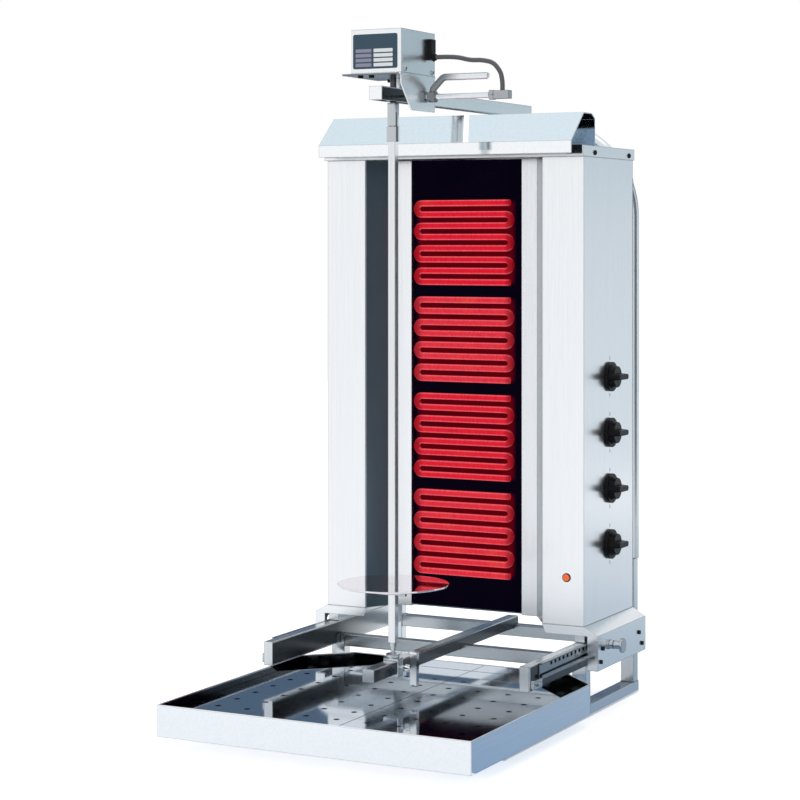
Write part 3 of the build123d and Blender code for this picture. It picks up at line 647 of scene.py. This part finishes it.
FAINT = Moulded("faint_field", "tower_sheet", (0.30, 0.30, 0.40), (0.36, 0.36, 0.45), 0.45)
LENS = Lens("lamp_lens", "lamp")


def circle(radius: float, sides: int, height: float = 0.0) -> list[Vector]:
    """Returns points evenly round the Z axis, at one height."""
    angles = (math.tau * index / sides for index in range(sides))
    return [Vector((radius * math.cos(a), radius * math.sin(a), height)) for a in angles]


def rounded_loop(first: Span, second: Span, radius: float, steps: int = 6) -> list[Span]:
    """Returns a rectangle's outline with rounded corners.

    Args:
        first: The rectangle's span along the first axis.
        second: Its span along the second axis.
        radius: The corners' radius.
        steps: The steps round each corner.

    Returns:
        The outline's points.
    """
    low_a, high_a = first[0] + radius, first[1] - radius
    low_b, high_b = second[0] + radius, second[1] - radius
    points = []
    for quarter, (a, b) in enumerate(((high_a, high_b), (low_a, high_b), (low_a, low_b),
                                      (high_a, low_b))):
        for step in range(steps + 1):
            angle = math.radians(90) * (quarter + step / steps)
            points.append((a + radius * math.cos(angle), b + radius * math.sin(angle)))
    return points


@dataclass
class Fitting:
    """A small modelled piece that is gathered into one mesh with its like."""

    name: str
    body: str
    finish: Finish
    sides: int = 24
    sharp_angle: float = 35.0
    mesh: bmesh.types.BMesh = field(default_factory=bmesh.new)

    def ring(self, points: Iterable[Vector]) -> list[bmesh.types.BMVert]:
        """Adds a ring of points and returns them."""
        return [self.mesh.verts.new(point) for point in points]

    def skin(self, rings: list[list[bmesh.types.BMVert]], closed: bool = False) -> None:
        """Joins rings with faces.

        Args:
            rings: Rings with equal numbers of points.
            closed: True if the last ring joins the first, or else both ends are capped.
        """
        pairs = list(zip(rings, rings[1:]))
        if closed:
            pairs.append((rings[-1], rings[0]))
        for low, high in pairs:
            for index in range(len(low)):
                after = (index + 1) % len(low)
                self.mesh.faces.new((low[index], low[after], high[after], high[index]))
        if not closed:
            self.mesh.faces.new(rings[0][::-1])
            self.mesh.faces.new(rings[-1])

    def turned(self, profile: list[Span], place: Vector, facing: Facing) -> None:
        """Adds a turned form.

        Args:
            profile: Radius and height pairs from the seat to the top.
            place: The seat's centre.
            facing: Which way the form stands.
        """
        matrix = Matrix.Translation(place) @ facing.turn()
        self.skin([self.ring(matrix @ point for point in circle(radius, self.sides, height))
                   for radius, height in profile])

    def slab(self, low: Vector, high: Vector, rounding: float = 0.0) -> None:
        """Adds a box between two corners.

        Args:
            low: The lowest corner.
            high: The highest corner.
            rounding: The bevel of its edges.
        """
        made = bmesh.ops.create_cube(self.mesh, size=1.0)["verts"]
        bmesh.ops.scale(self.mesh, vec=high - low, verts=made)
        bmesh.ops.translate(self.mesh, vec=(low + high) / 2, verts=made)
        if rounding > 0:
            edges = dict.fromkeys(edge for vert in made for edge in vert.link_edges)
            bmesh.ops.bevel(self.mesh, geom=list(edges), offset=rounding, segments=2,
                            affect="EDGES", profile=0.5)

    def plate(self, loop: list[Span], front: float, back: float) -> None:
        """Adds an upright plate between two depths, with its outline in X and Z."""
        self.skin([self.ring(Vector((x, y, z)) for x, z in loop) for y in (front, back)])

    def hoop(self, points: list[Vector], radius: float, sides: int = 8) -> None:
        """Adds a round tube along a closed line.

        Args:
            points: The line's points.
            radius: The tube's radius.
            sides: The number of its sides.
        """
        rings = []
        for index, point in enumerate(points):
            along = points[(index + 1) % len(points)] - points[index - 1]
            frame = along.normalized().to_track_quat("Z", "Y").to_matrix()
            rings.append(self.ring(point + frame @ offset for offset in circle(radius, sides)))
        self.skin(rings, closed=True)

    def finish_piece(self) -> None:
        """Turns the gathered mesh into an object that rides on its body."""
        bmesh.ops.recalc_face_normals(self.mesh, faces=self.mesh.faces[:])
        data = bpy.data.meshes.new(self.name)
        self.mesh.to_mesh(data)
        self.mesh.free()
        piece = bpy.data.objects.new(self.name, data)
        bpy.context.scene.collection.objects.link(piece)
        data.materials.append(self.finish.material())
        for polygon in data.polygons:
            polygon.use_smooth = True
        data.set_sharp_from_angle(angle=math.radians(self.sharp_angle))
        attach(piece, self.body)
        LOG.info("fitting %s rides on %s", self.name, self.body)


@dataclass
class Fasteners:
    """Profiles of the screw heads, as radius and height pairs."""

    radius: float = 4.2 * MM
    pan_height: float = 2.4 * MM
    cap_height: float = 3.84 * MM

    def pan(self) -> list[Span]:
        """Returns a domed pan head with a driver recess."""
        r, h = self.radius, self.pan_height
        return [(r, 0.0), (r, h * 0.35), (r * 0.92, h * 0.7), (r * 0.7, h), (r * 0.42, h),
                (r * 0.34, h * 0.35)]

    def cap(self) -> list[Span]:
        """Returns a cap head with a round socket recess."""
        r, h = self.radius, self.cap_height
        return [(r, 0.0), (r, h * 0.9), (r * 0.92, h), (r * 0.5, h), (r * 0.46, h * 0.4)]


HEADS = Fasteners()


def both(stem: str) -> tuple[str, str]:
    """Returns the left and right names of a pair."""
    return f"{stem}_left", f"{stem}_right"


@dataclass
class Assembly:
    """A group of machine parts with their finishes and edge roundings."""

    nodes: dict[str, bpy.types.Object]

    def paint(self, finish: Finish, *names: str) -> None:
        """Gives a finish to machine parts.

        Args:
            finish: The finish.
            names: The parts' names.
        """
        for name in names:
            data = self.nodes[name].data
            data.materials.clear()
            data.materials.append(finish.material())
            LOG.info("part %s is %s", name, finish.name)

    def soften(self, width: float, *names: str) -> None:
        """Rounds the sharp edges of machine parts with modifiers.

        Args:
            width: The width of the rounding.
            names: The parts' names.
        """
        for name in names:
            weld = self.nodes[name].modifiers.new("join_points", "WELD")
            weld.merge_threshold = 0.005 * MM
            bevel = self.nodes[name].modifiers.new("soft_edges", "BEVEL")
            bevel.width = width
            bevel.segments = 2
            bevel.limit_method = "ANGLE"
            bevel.angle_limit = math.radians(50)
            bevel.use_clamp_overlap = True
            bevel.harden_normals = True
            bevel.miter_outer = "MITER_ARC"

    def side_screws(self, screws: Fitting, part: str, depths: Span, level: float) -> None:
        """Sets pan screws in both sides of a part and finishes them.

        Args:
            screws: The fitting that gathers them.
            part: The part's name.
            depths: Their places from front to back.
            level: Their height.
        """
        low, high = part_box(part)
        for y in depths:
            screws.turned(HEADS.pan(), Vector((high[0], y, level)), Facing.RIGHT)
            screws.turned(HEADS.pan(), Vector((low[0], y, level)), Facing.LEFT)
        screws.finish_piece()

    def build(self) -> None:
        """Dresses the assembly."""
        raise NotImplementedError


@dataclass
class BaseFrame(Assembly):
    """Rails, posts, cross bars and the center bar."""

    seam_radius: float = 0.91 * MM
    corner_radius: float = 1.5 * MM
    foot_level: float = 20.5 * MM
    rail_shade_end: float = 200 * MM

    def build(self) -> None:
        """Paints the tubes, some with painted shade and painted dark reflections, and lays the weld
        seams where they meet.
        """
        self.paint(TUBE_DEEP, *both("base_rail"))
        # Painted shade on the right rail's face behind the slide channel's slots.
        low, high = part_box("top_rail_right")
        behind = tube_face(high[0], (low[1] + 4 * MM, high[1]), low, high, 0.97)
        self.paint(TUBE_DEEP.variant("top_rail_right_tube", behind), "top_rail_right")
        # The slide channels get a dark copy of the tube steel: painted shade.
        self.paint(TUBE_DEEP.variant("channel_steel", colour=(0.27, 0.30, 0.33), edge=0.9),
                   *both("slide_channel"))
        # Painted dark reflection along the left rail's inner face, fading towards the back.
        low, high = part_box("top_rail_left")
        fade = 200 * MM
        inner = Shade(around(high[0]), (low[1] - fade, self.rail_shade_end),
                      (low[2] + 1 * MM, high[2] - 1 * MM), (0.3 * MM, fade, 2 * MM), 0.98)
        self.paint(TUBE_DEEP.variant("top_rail_left_tube", inner), "top_rail_left")
        # Painted dark reflections on both sides of the center bar.
        low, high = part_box("center_bar")
        sides = (tube_face(x, (low[1] + 1 * MM, high[1]), low, high, 0.93)
                 for x in (low[0], high[0]))
        self.paint(TUBE_DEEP.variant("center_bar_tube", *sides), "center_bar")
        self.paint(TUBE_UPRIGHT, *both("front_post"), *both("rear_post"), "foot_bearing")
        self.paint(TUBE_ACROSS, "front_cross_bar", "rear_cross_bar", *both("end_stop"))
        self.paint(BRIGHT, "clamp_lever")
        self.soften(0.5 * MM, *both("slide_channel"), *both("front_post"), "clamp_lever")
        self.weld_seams()

    def weld_seams(self) -> None:
        """Lays seams round the posts' feet, the rear posts' tops and the cross bars' ends."""
        seams = Fitting("weld_seams", "frame", CAST)
        for name in (*both("front_post"), *both("rear_post")):
            self.seam_round(seams, name, self.foot_level)
        for name in both("rear_post"):
            self.seam_round(seams, name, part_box(name)[1][2] - 0.4 * MM)
        for name in ("front_cross_bar", "rear_cross_bar"):
            low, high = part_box(name)
            loop = rounded_loop((low[1], high[1]), (low[2], high[2]), self.corner_radius)
            for x in (low[0] + 0.3 * MM, high[0] - 0.3 * MM):
                seams.hoop([Vector((x, y, z)) for y, z in loop], self.seam_radius)
        seams.finish_piece()

    def seam_round(self, seams: Fitting, name: str, level: float) -> None:
        """Lays a closed seam round an upright tube.

        Args:
            seams: The fitting that gathers the seams.
            name: The tube's name.
            level: The seam's height.
        """
        low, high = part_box(name)
        loop = rounded_loop((low[0], high[0]), (low[1], high[1]), self.corner_radius)
        seams.hoop([Vector((x, y, level)) for x, y in loop], self.seam_radius)


@dataclass
class Tower(Assembly):
    """The heated tower: casings, lid, hood, carriage covers and controls."""

    flange_screw_y: Span = (41 * MM, 191 * MM)
    tick_length: float = 6.0 * MM
    tick_width: float = 1.3 * MM
    tick_height: float = 0.15 * MM
    tick_gap: float = 3 * MM
    back_screw_count: int = 5
    back_screw_end: float = 30 * MM
    back_screw_edge: float = 12 * MM
    # Spans of the painted shadow at the lid's ends, beside the hood.
    lid_ends: tuple[Span, ...] = ((-233.5 * MM, -206 * MM), (206 * MM, 233.5 * MM))
    # Spans and strengths of the painted dark reflections on the slanted wings.
    wing_reflections: tuple[tuple[Span, float], ...] = (((-160 * MM, -128 * MM), 0.96),
                                             ((128 * MM, 160 * MM), 0.9))
    knobs: tuple[str, ...] = tuple(f"heat_knob_{number}" for number in range(1, 5))

    def build(self) -> None:
        """Paints the shells and adds screws, ticks and strips of painted shade."""
        self.paint(SHEET, "back_panel")
        self.paint_casings()
        self.paint(SHEET_ACROSS, *both("carriage_cover"))
        # The tower's floor, seen from below, gets a near-black copy of the sheet: painted shade
        # under the tower.
        self.paint(SHEET_ACROSS.variant("underside_shade_sheet", colour=(0.16, 0.18, 0.20)), "tower_floor")
        self.paint_top()
        self.paint(TUBE_DEEP, *both("carriage_runner"))
        self.paint(BLACK, *both("cover_bolts"), "heat_switches", *self.knobs)
        # The latch gets a darker copy of the bright steel: painted dark reflection.
        self.paint(BRIGHT.variant("latch_steel", colour=(0.50, 0.54, 0.57), edge=0.8),
                   "latch_pin", "latch_guide")
        self.paint(LENS, "pilot_lamp")
        self.soften(0.7 * MM, "hood", *both("carriage_cover"))
        self.soften(0.6 * MM, *self.knobs)
        self.lid_screws()
        self.knob_ticks()
        self.back_screws()
        self.lamp_rim()
        self.rear_shade_strips()

    def paint_top(self) -> None:
        """Paints the lid, with painted shadow under the hood and at its ends, and the hood, with
        painted shade and a painted bluish reflection inside.
        """
        low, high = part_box("hood")
        lid_low, lid_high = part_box("lid")
        # Painted shadow on the lid under the hood and at its ends.
        under = Shade((low[0], high[0]), (low[1] + 1 * MM, high[1]), around(lid_high[2], 1 * MM),
                      (1 * MM, 1 * MM, 0.5 * MM), 0.97)
        ends = (Shade(span, (lid_low[1] - 1 * MM, lid_low[1] + 20 * MM),
                      (lid_low[2] + 4 * MM, lid_high[2] + 1 * MM),
                      (0.5 * MM, 1 * MM, 1 * MM), 0.95) for span in self.lid_ends)
        self.paint(SHEET_ACROSS.variant("lid_sheet", under, *ends), "lid")
        # Painted shade with a painted bluish reflection inside the hood.
        inner = Shade((low[0], high[0]), (low[1] + 55 * MM, high[1] - 0.6 * MM),
                      (low[2], high[2] - 0.6 * MM), (0.1 * MM, 5 * MM, 0.1 * MM), 0.6)
        self.paint(MIRROR.variant("hood_sheet", inner, colour=(0.92, 0.95, 0.97),
                                 shade_colour=(0.14, 0.27, 0.44)), "hood")

    def paint_casings(self) -> None:
        """Paints dark reflections onto both slanted wings beside the heaters."""
        low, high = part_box("side_casing_right")
        wing_reflections = (Shade(span, (low[1] + 0.8 * MM, low[1] + 52.5 * MM), (low[2], high[2]),
                       (0.5 * MM, 0.5 * MM, 1 * MM), amount) for span, amount in self.wing_reflections)
        self.paint(SHEET.variant("casing_sheet", *wing_reflections, shade_colour=(0.14, 0.19, 0.22)),
                   *both("side_casing"))

    def lid_screws(self) -> None:
        """Screws the lid's flange to the casings."""
        low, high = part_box("lid")
        self.side_screws(Fitting("lid_screws", "tower", BLACK), "lid", self.flange_screw_y,
                         (low[2] + high[2]) / 2 - 2 * MM)

    def knob_ticks(self) -> None:
        """Prints a short tick above and below each knob."""
        ticks = Fitting("knob_ticks", "tower", INK)
        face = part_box("side_casing_right")[1][0]
        for name in self.knobs:
            low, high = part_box(name)
            near, far = around((low[1] + high[1]) / 2, self.tick_width / 2)
            for level in (high[2] + self.tick_gap, low[2] - self.tick_gap - self.tick_length):
                ticks.slab(Vector((face, near, level)),
                           Vector((face + self.tick_height, far, level + self.tick_length)))
        ticks.finish_piece()

    def back_screws(self) -> None:
        """Screws the back panel on along both edges."""
        low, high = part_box("back_panel")
        screws = Fitting("back_screws", "tower", ZINC)
        run = high[2] - low[2] - 2 * self.back_screw_end
        for index in range(self.back_screw_count):
            z = low[2] + self.back_screw_end + run * index / (self.back_screw_count - 1)
            for x in (low[0] + self.back_screw_edge, high[0] - self.back_screw_edge):
                screws.turned(HEADS.pan(), Vector((x, high[1], z)), Facing.BACK)
        screws.finish_piece()

    def lamp_rim(self) -> None:
        """Adds the black rim round the pilot lamp."""
        low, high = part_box("pilot_lamp")
        centre = (low + high) / 2
        rim = Fitting("lamp_rim", "tower", BLACK)
        rim.hoop([Vector((centre[0] + point[0], -0.8 * MM, centre[2] + point[1]))
                  for point in circle((high[0] - low[0]) / 2, 40)], 0.9 * MM)
        rim.finish_piece()

    def rear_shade_strips(self) -> None:
        """Lays a black strip of painted shade down each rear edge of the tower, in the shadowed gap
        there.
        """
        low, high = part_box("back_panel")
        shade_strips = Fitting("rear_shade_strips", "tower", BLACK)
        inner, outer = high[0] - 5 * MM, high[0] - 1 * MM
        for left, right in ((-outer, -inner), (inner, outer)):
            shade_strips.slab(Vector((left, high[1] - 0.2 * MM, low[2] + 4 * MM)),
                       Vector((right, high[1] + 4.5 * MM, high[2] - 30 * MM)), 0.6 * MM)
        shade_strips.finish_piece()


@dataclass
class HeatingWall(Assembly):
    """The four glowing heaters before their dark panel."""

    lifts: tuple[float, ...] = (0.0, 0.22, 0.04, 0.18)

    def build(self) -> None:
        """Lights the heaters and darkens the panel behind them."""
        spans = []
        for index, lift in enumerate(self.lifts, start=1):
            low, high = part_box(f"heater_{index}")
            spans.append(((low[0], high[0]), (low[2], high[2])))
            self.paint(Glow(f"heater_glow_{index}", "heater", lift, low[0], high[0]),
                       f"heater_{index}")
        low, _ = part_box("heater_panel")
        self.paint(DarkPanel("dark_panel", "dark_enamel", tuple(spans), low[1]), "heater_panel")


@dataclass
class SpitDrive(Assembly):
    """The spit, its disc and coupling, and the arm that carries the motor.

    The rating plate's margins are left, right, bottom and top.
    """

    neck_start: float = 972 * MM
    arm_shade_end: float = -140 * MM
    plate_margins: tuple[float, ...] = (5.0 * MM, 7.0 * MM, 6.5 * MM, 7.5 * MM)
    plate_columns: tuple[tuple[str, Finish, float, float], ...] = (
        ("rating_fields", BLANK, 0.47, 0.90), ("rating_bars", FAINT, 0.06, 0.42))
    plate_rows: int = 4
    row_start: float = 0.06
    row_pitch: float = 0.137
    row_height: float = 0.10
    cradle_screw_places: tuple[Span, ...] = ((-31, -258), (-12, -258), (-31, -160), (31, -160))

    def build(self) -> None:
        """Paints the drive line and the motor head."""
        self.paint(BRIGHT, "spit_bar", "disc_pin", "pivot_rod")
        self.paint_line()
        self.paint_arm()
        self.paint(CAST, "gear_motor", "lead_gland")
        self.paint(BLACK, "motor_plug")
        self.paint(CABLE, "motor_lead")
        self.soften(0.5 * MM, "motor_cradle", "motor_plug", "meat_disc", "lead_gland")
        self.rating_plate()
        self.cradle_screws()
        self.housing_screws()

    def paint_line(self) -> None:
        """Paints the handle, with a painted dark reflection at its bend, the disc, and the
        coupling, in darker steel with painted shade on its neck.
        """
        low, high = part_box("release_handle")
        past = Vector((10 * MM, 10 * MM, 10 * MM))
        before, beyond = low - past, high + past
        # Painted dark reflection on the handle's bend.
        bend = Shade((low[0] - 50 * MM, low[0] + 55 * MM), (before[1], beyond[1]),
                     (before[2], beyond[2]), (30 * MM, 1 * MM, 1 * MM), 0.75)
        self.paint(BRIGHT.variant("handle_bar", bend), "release_handle")
        self.paint(DISC, "meat_disc")
        low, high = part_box("drive_coupling")
        before, beyond = low - past, high + past
        # Painted shade on the coupling's neck; its darker steel is a painted dark reflection.
        neck = Shade((before[0], beyond[0]), (before[1], beyond[1]), (self.neck_start, beyond[2]),
                     (1 * MM, 1 * MM, 4 * MM), 0.9)
        self.paint(BRIGHT.variant("coupling_bar", neck, colour=(0.52, 0.56, 0.59)),
                   "drive_coupling")

    def paint_arm(self) -> None:
        """Paints the hoop, the arm, with painted shade on its right face and paler steel as a
        painted bright reflection, the motor's housing, and the cradle under it, with painted shade
        on its plate.
        """
        self.paint(TUBE_UPRIGHT, "hoop", "arm_saddle")
        # Painted shade on the arm's right face near the front; the arm's paler steel is a painted
        # bright reflection.
        low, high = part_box("arm")
        side = tube_face(high[0], (low[1] + 1 * MM, self.arm_shade_end), low, high, 0.97)
        self.paint(TUBE_DEEP.variant("arm_tube", side, colour=(0.92, 0.95, 0.97)), "arm")
        self.paint(SHEET_ACROSS, "motor_housing")
        # Painted shade on the cradle plate's underside and front face.
        low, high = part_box("motor_cradle")
        plate = Shade((low[0] - 5 * MM, high[0] - 3.5 * MM), (low[1] - 5 * MM, high[1] + 5 * MM),
                      (high[2] - 3.5 * MM, high[2] - 0.5 * MM), (0.3 * MM, 1 * MM, 0.3 * MM), 0.85)
        self.paint(SHEET_ACROSS.variant("cradle_sheet", plate, shade_colour=(0.07, 0.095, 0.115)),
                   "motor_cradle")

    def rating_plate(self) -> None:
        """Fixes the bare rating plate, with blank fields only, on the motor's front."""
        low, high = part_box("motor_housing")
        front = low[1]
        left, right = low[0] + self.plate_margins[0], high[0] - self.plate_margins[1]
        bottom, top = low[2] + self.plate_margins[2], high[2] - self.plate_margins[3]
        width, height = right - left, top - bottom
        plate = Fitting("rating_plate", "frame", SLATE)
        plate.plate(rounded_loop((left, right), (bottom, top), 3 * MM), front - 0.8 * MM, front)
        plate.finish_piece()
        for name, finish, start, end in self.plate_columns:
            rows = Fitting(name, "frame", finish)
            across = (left + width * start, left + width * end)
            for index in range(self.plate_rows):
                z = bottom + height * (self.row_start + self.row_pitch * index)
                rows.plate(rounded_loop(across, (z, z + height * self.row_height), 0.4 * MM, 3),
                           front - 1.0 * MM, front - 0.7 * MM)
            rows.finish_piece()

    def cradle_screws(self) -> None:
        """Adds the black cap screws under the motor's base plate."""
        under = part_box("motor_cradle")[1][2] - 3 * MM
        screws = Fitting("cradle_screws", "frame", BLACK)
        for x, y in self.cradle_screw_places:
            screws.turned(HEADS.cap(), Vector((x * MM, y * MM, under)), Facing.DOWN)
        screws.finish_piece()

    def housing_screws(self) -> None:
        """Adds the cover screws of the motor housing."""
        low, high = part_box("motor_housing")
        self.side_screws(Fitting("housing_screws", "frame", ZINC), "motor_housing",
                         (low[1] + 12 * MM, high[1] - 12 * MM), low[2] + 6 * MM)


@dataclass
class DripTray(Assembly):
    """The drip tray with its perforated floor."""

    rim_radius: float = 1.0 * MM
    rim_inset: float = 1.0 * MM
    corner_cut: float = 66.5 * MM

    def build(self) -> None:
        """Polishes the tray, with painted dark reflection on its inner left wall and darker, bluer
        floors, and rolls its rim.
        """
        low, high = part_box("drip_tray")
        # Painted dark reflection on the tray's inner left wall.
        inner = Shade((low[0] + 0.8 * MM, low[0] + 9 * MM), (low[1] + 2 * MM, high[1]),
                      (low[2], high[2] - 1.5 * MM), FACE_SOFT, 0.9)
        self.paint(MIRROR.variant("tray_sheet", inner), "drip_tray")
        # The floors get a darker, bluer copy of the polished steel: painted dark reflection.
        self.paint(MIRROR.variant("tray_floor_sheet", colour=(0.60, 0.66, 0.73)),
                   *both("tray_floor"))
        self.soften(0.8 * MM, "drip_tray")
        left, right = low[0] + self.rim_inset, high[0] - self.rim_inset
        front, back = low[1] + self.rim_inset, high[1] - self.rim_inset
        cut_y = high[1] - self.corner_cut
        corners = ((left, front), (right, front), (right, cut_y), (high[0] - self.corner_cut, back),
                   (low[0] + self.corner_cut, back), (left, cut_y))
        rim = Fitting("tray_rim", "tray", MIRROR)
        rim.hoop([Vector((x, y, high[2] - 0.4 * MM)) for x, y in corners], self.rim_radius, 12)
        rim.finish_piece()


def flat_sheet(name: str, width: float, height: float,
               material: bpy.types.Material) -> bpy.types.Object:
    """Makes a flat rectangle that isn't part of the grill.

    Args:
        name: The object's name.
        width: Its size along X.
        height: Its size along Y.
        material: Its material.

    Returns:
        The new object.
    """
    x, y = width / 2, height / 2
    data = bpy.data.meshes.new(name)
    data.from_pydata([(-x, -y, 0), (x, -y, 0), (x, y, 0), (-x, y, 0)], [], [(0, 1, 2, 3)])
    data.materials.append(material)
    sheet = bpy.data.objects.new(name, data)
    bpy.context.scene.collection.objects.link(sheet)
    return sheet


@dataclass(frozen=True)
class Card:
    """A card that stands beside the camera's view and shows only in polished metal."""

    name: str
    place: Corner
    width: float
    height: float
    stops: Stops
    flat: bool = False

    def build(self, target: Vector) -> None:
        """Stands the card up, facing the object, or lays it flat.

        Args:
            target: The point that the card faces.
        """
        made = bpy.data.materials.new(self.name)
        graph = open_nodes(made)
        nodes = made.node_tree.nodes
        nodes.remove(nodes["Principled BSDF"])
        level = graph.math("ADD", graph.math("DIVIDE", graph.split(graph.here())["Y"], self.height),
                           0.5)
        light = graph.add("Emission", {"Color": graph.ramp(level, self.stops)})
        graph.fill(nodes["Material Output"], {"Surface": light.outputs[0]})
        card = flat_sheet(self.name, self.width, self.height, made)
        card.location = self.place
        if not self.flat:
            card.rotation_euler = (Vector(self.place) - target).to_track_quat("Z", "Y").to_euler()
        card.visible_camera = False
        card.visible_diffuse = False
        card.visible_shadow = False
        card.visible_volume_scatter = False


@dataclass(frozen=True)
class SoftBox:
    """A broad lamp, with its power in watts."""

    name: str
    place: Corner
    width: float
    height: float
    power: float

    def build(self, target: Vector) -> None:
        """Hangs the lamp.

        Args:
            target: The point that it faces.
        """
        data = bpy.data.lights.new(self.name, "AREA")
        data.shape = "RECTANGLE"
        data.size, data.size_y = self.width, self.height
        data.energy = self.power
        lamp = bpy.data.objects.new(self.name, data)
        lamp.location = self.place
        lamp.rotation_euler = (target - Vector(self.place)).to_track_quat("-Z", "Y").to_euler()
        bpy.context.scene.collection.objects.link(lamp)


@dataclass
class Studio:
    """The pale floor, the cards, the lamps, the sky and the camera."""

    floor_size: float = 14.0
    floor_level: float = -0.2 * MM
    floor_seen: float = 0.58
    floor_mirrored: float = 0.36
    sky_strength: float = 0.8
    middle: Corner = (0.0, 0.0, 0.5)
    lamps: tuple[SoftBox, ...] = (
        SoftBox("key", (-3.2, -2.2, 3.4), 2.6, 2.6, 7),
        SoftBox("top", (0.0, 0.2, 3.8), 3.0, 2.4, 12),
    )
    cards: tuple[Card, ...] = (
        Card("card_back_right", (1.6, 3.2, 0.8), 3.0, 2.8,
             ((0.30, (0.72, 0.79, 0.84)), (0.52, (0.67, 0.74, 0.79)), (0.60, (0.58, 0.66, 0.71)),
              (0.70, (0.36, 0.46, 0.51)))),
        Card("card_right", (2.7, 0.1, 0.9), 2.2, 2.6,
             ((0.0, (0.13, 0.16, 0.19)), (1.0, (0.20, 0.23, 0.26)))),
        Card("card_back_left", (-1.7, 3.0, 0.5), 2.4, 1.8,
             ((0.0, (0.05, 0.085, 0.14)), (1.0, (0.12, 0.18, 0.26)))),
        Card("card_above", (-1.2, 0.4, 3.2), 2.6, 2.2,
             ((0.0, (0.70, 0.81, 0.87)), (1.0, (0.80, 0.89, 0.94)))),
        Card("card_floor_right", (1.0, 0.9, 0.004), 1.6, 2.6,
             ((0.0, (0.28, 0.40, 0.57)), (0.35, (0.42, 0.51, 0.60)), (0.7, (0.68, 0.75, 0.81))),
             True),
    )

    def build(self) -> None:
        """Sets the scene round the object."""
        self.floor()
        self.sky()
        for lamp in self.lamps:
            lamp.build(Vector(self.middle))
        self.camera()
        for card in self.cards:
            card.build(Vector(self.middle))

    def looks(self, graph: NodeGraph) -> tuple[Socket, Socket]:
        """Returns one where the camera looks, and one where polished metal or glass does."""
        path = graph.add("LightPath").outputs
        return path["Is Camera Ray"], graph.math("MAXIMUM", path["Is Glossy Ray"],
                                                 path["Is Transmission Ray"])

    def floor(self) -> None:
        """Lays the pale floor, which keeps the object's shadow."""
        made = bpy.data.materials.new("pale_floor")
        graph = open_nodes(made)
        seen, mirrored = self.looks(graph)
        strength = graph.math("ADD", graph.math("MULTIPLY", seen, self.floor_seen),
                              graph.math("MULTIPLY", mirrored, self.floor_mirrored))
        graph.fill(made.node_tree.nodes["Principled BSDF"],
                   {"Base Color": (0.80, 0.81, 0.82), "Roughness": 0.9, "Specular IOR Level": 0.0,
                    "Emission Color": WHITE, "Emission Strength": strength})
        flat_sheet("floor", self.floor_size, self.floor_size, made).location.z = self.floor_level

    def sky(self) -> None:
        """Surrounds the object with soft grey light, seen as a white background."""
        world = bpy.data.worlds.new("studio")
        bpy.context.scene.world = world
        graph = open_nodes(world)
        nodes = world.node_tree.nodes
        soft = nodes["Background"]
        graph.fill(soft, {"Color": (0.98, 0.99, 1.0), "Strength": self.sky_strength})
        white = graph.add("Background", {"Color": WHITE})
        seen = graph.math("MAXIMUM", *self.looks(graph))
        mix = graph.add("MixShader", {0: seen, 1: soft.outputs[0], 2: white.outputs[0]})
        graph.fill(nodes["World Output"], {"Surface": mix.outputs[0]})

    def camera(self) -> None:
        """Stands the camera where the photograph was taken from."""
        data = bpy.data.cameras.new("camera")
        data.sensor_width = SENSOR_WIDTH
        data.lens = FOCAL_PIXELS / PHOTO_PIXELS * SENSOR_WIDTH
        data.shift_y = (HORIZON_PIXEL - PHOTO_PIXELS / 2) / PHOTO_PIXELS
        camera = bpy.data.objects.new("camera", data)
        camera.location = CAMERA_PLACE
        camera.rotation_euler = (math.radians(90), 0, math.radians(CAMERA_YAW))
        bpy.context.scene.collection.objects.link(camera)
        bpy.context.scene.camera = camera


def main() -> None:
    """Loads the frame, dresses each assembly and sets the studio."""
    logging.basicConfig(level=logging.INFO, format="%(name)s: %(message)s")
    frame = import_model()
    nodes = frame["nodes"]
    for assembly in (BaseFrame(nodes), Tower(nodes), HeatingWall(nodes), SpitDrive(nodes),
                     DripTray(nodes)):
        assembly.build()
    Studio().build()
    bpy.context.scene.view_settings.view_transform = "Standard"


if __name__ == "__main__":
    main()
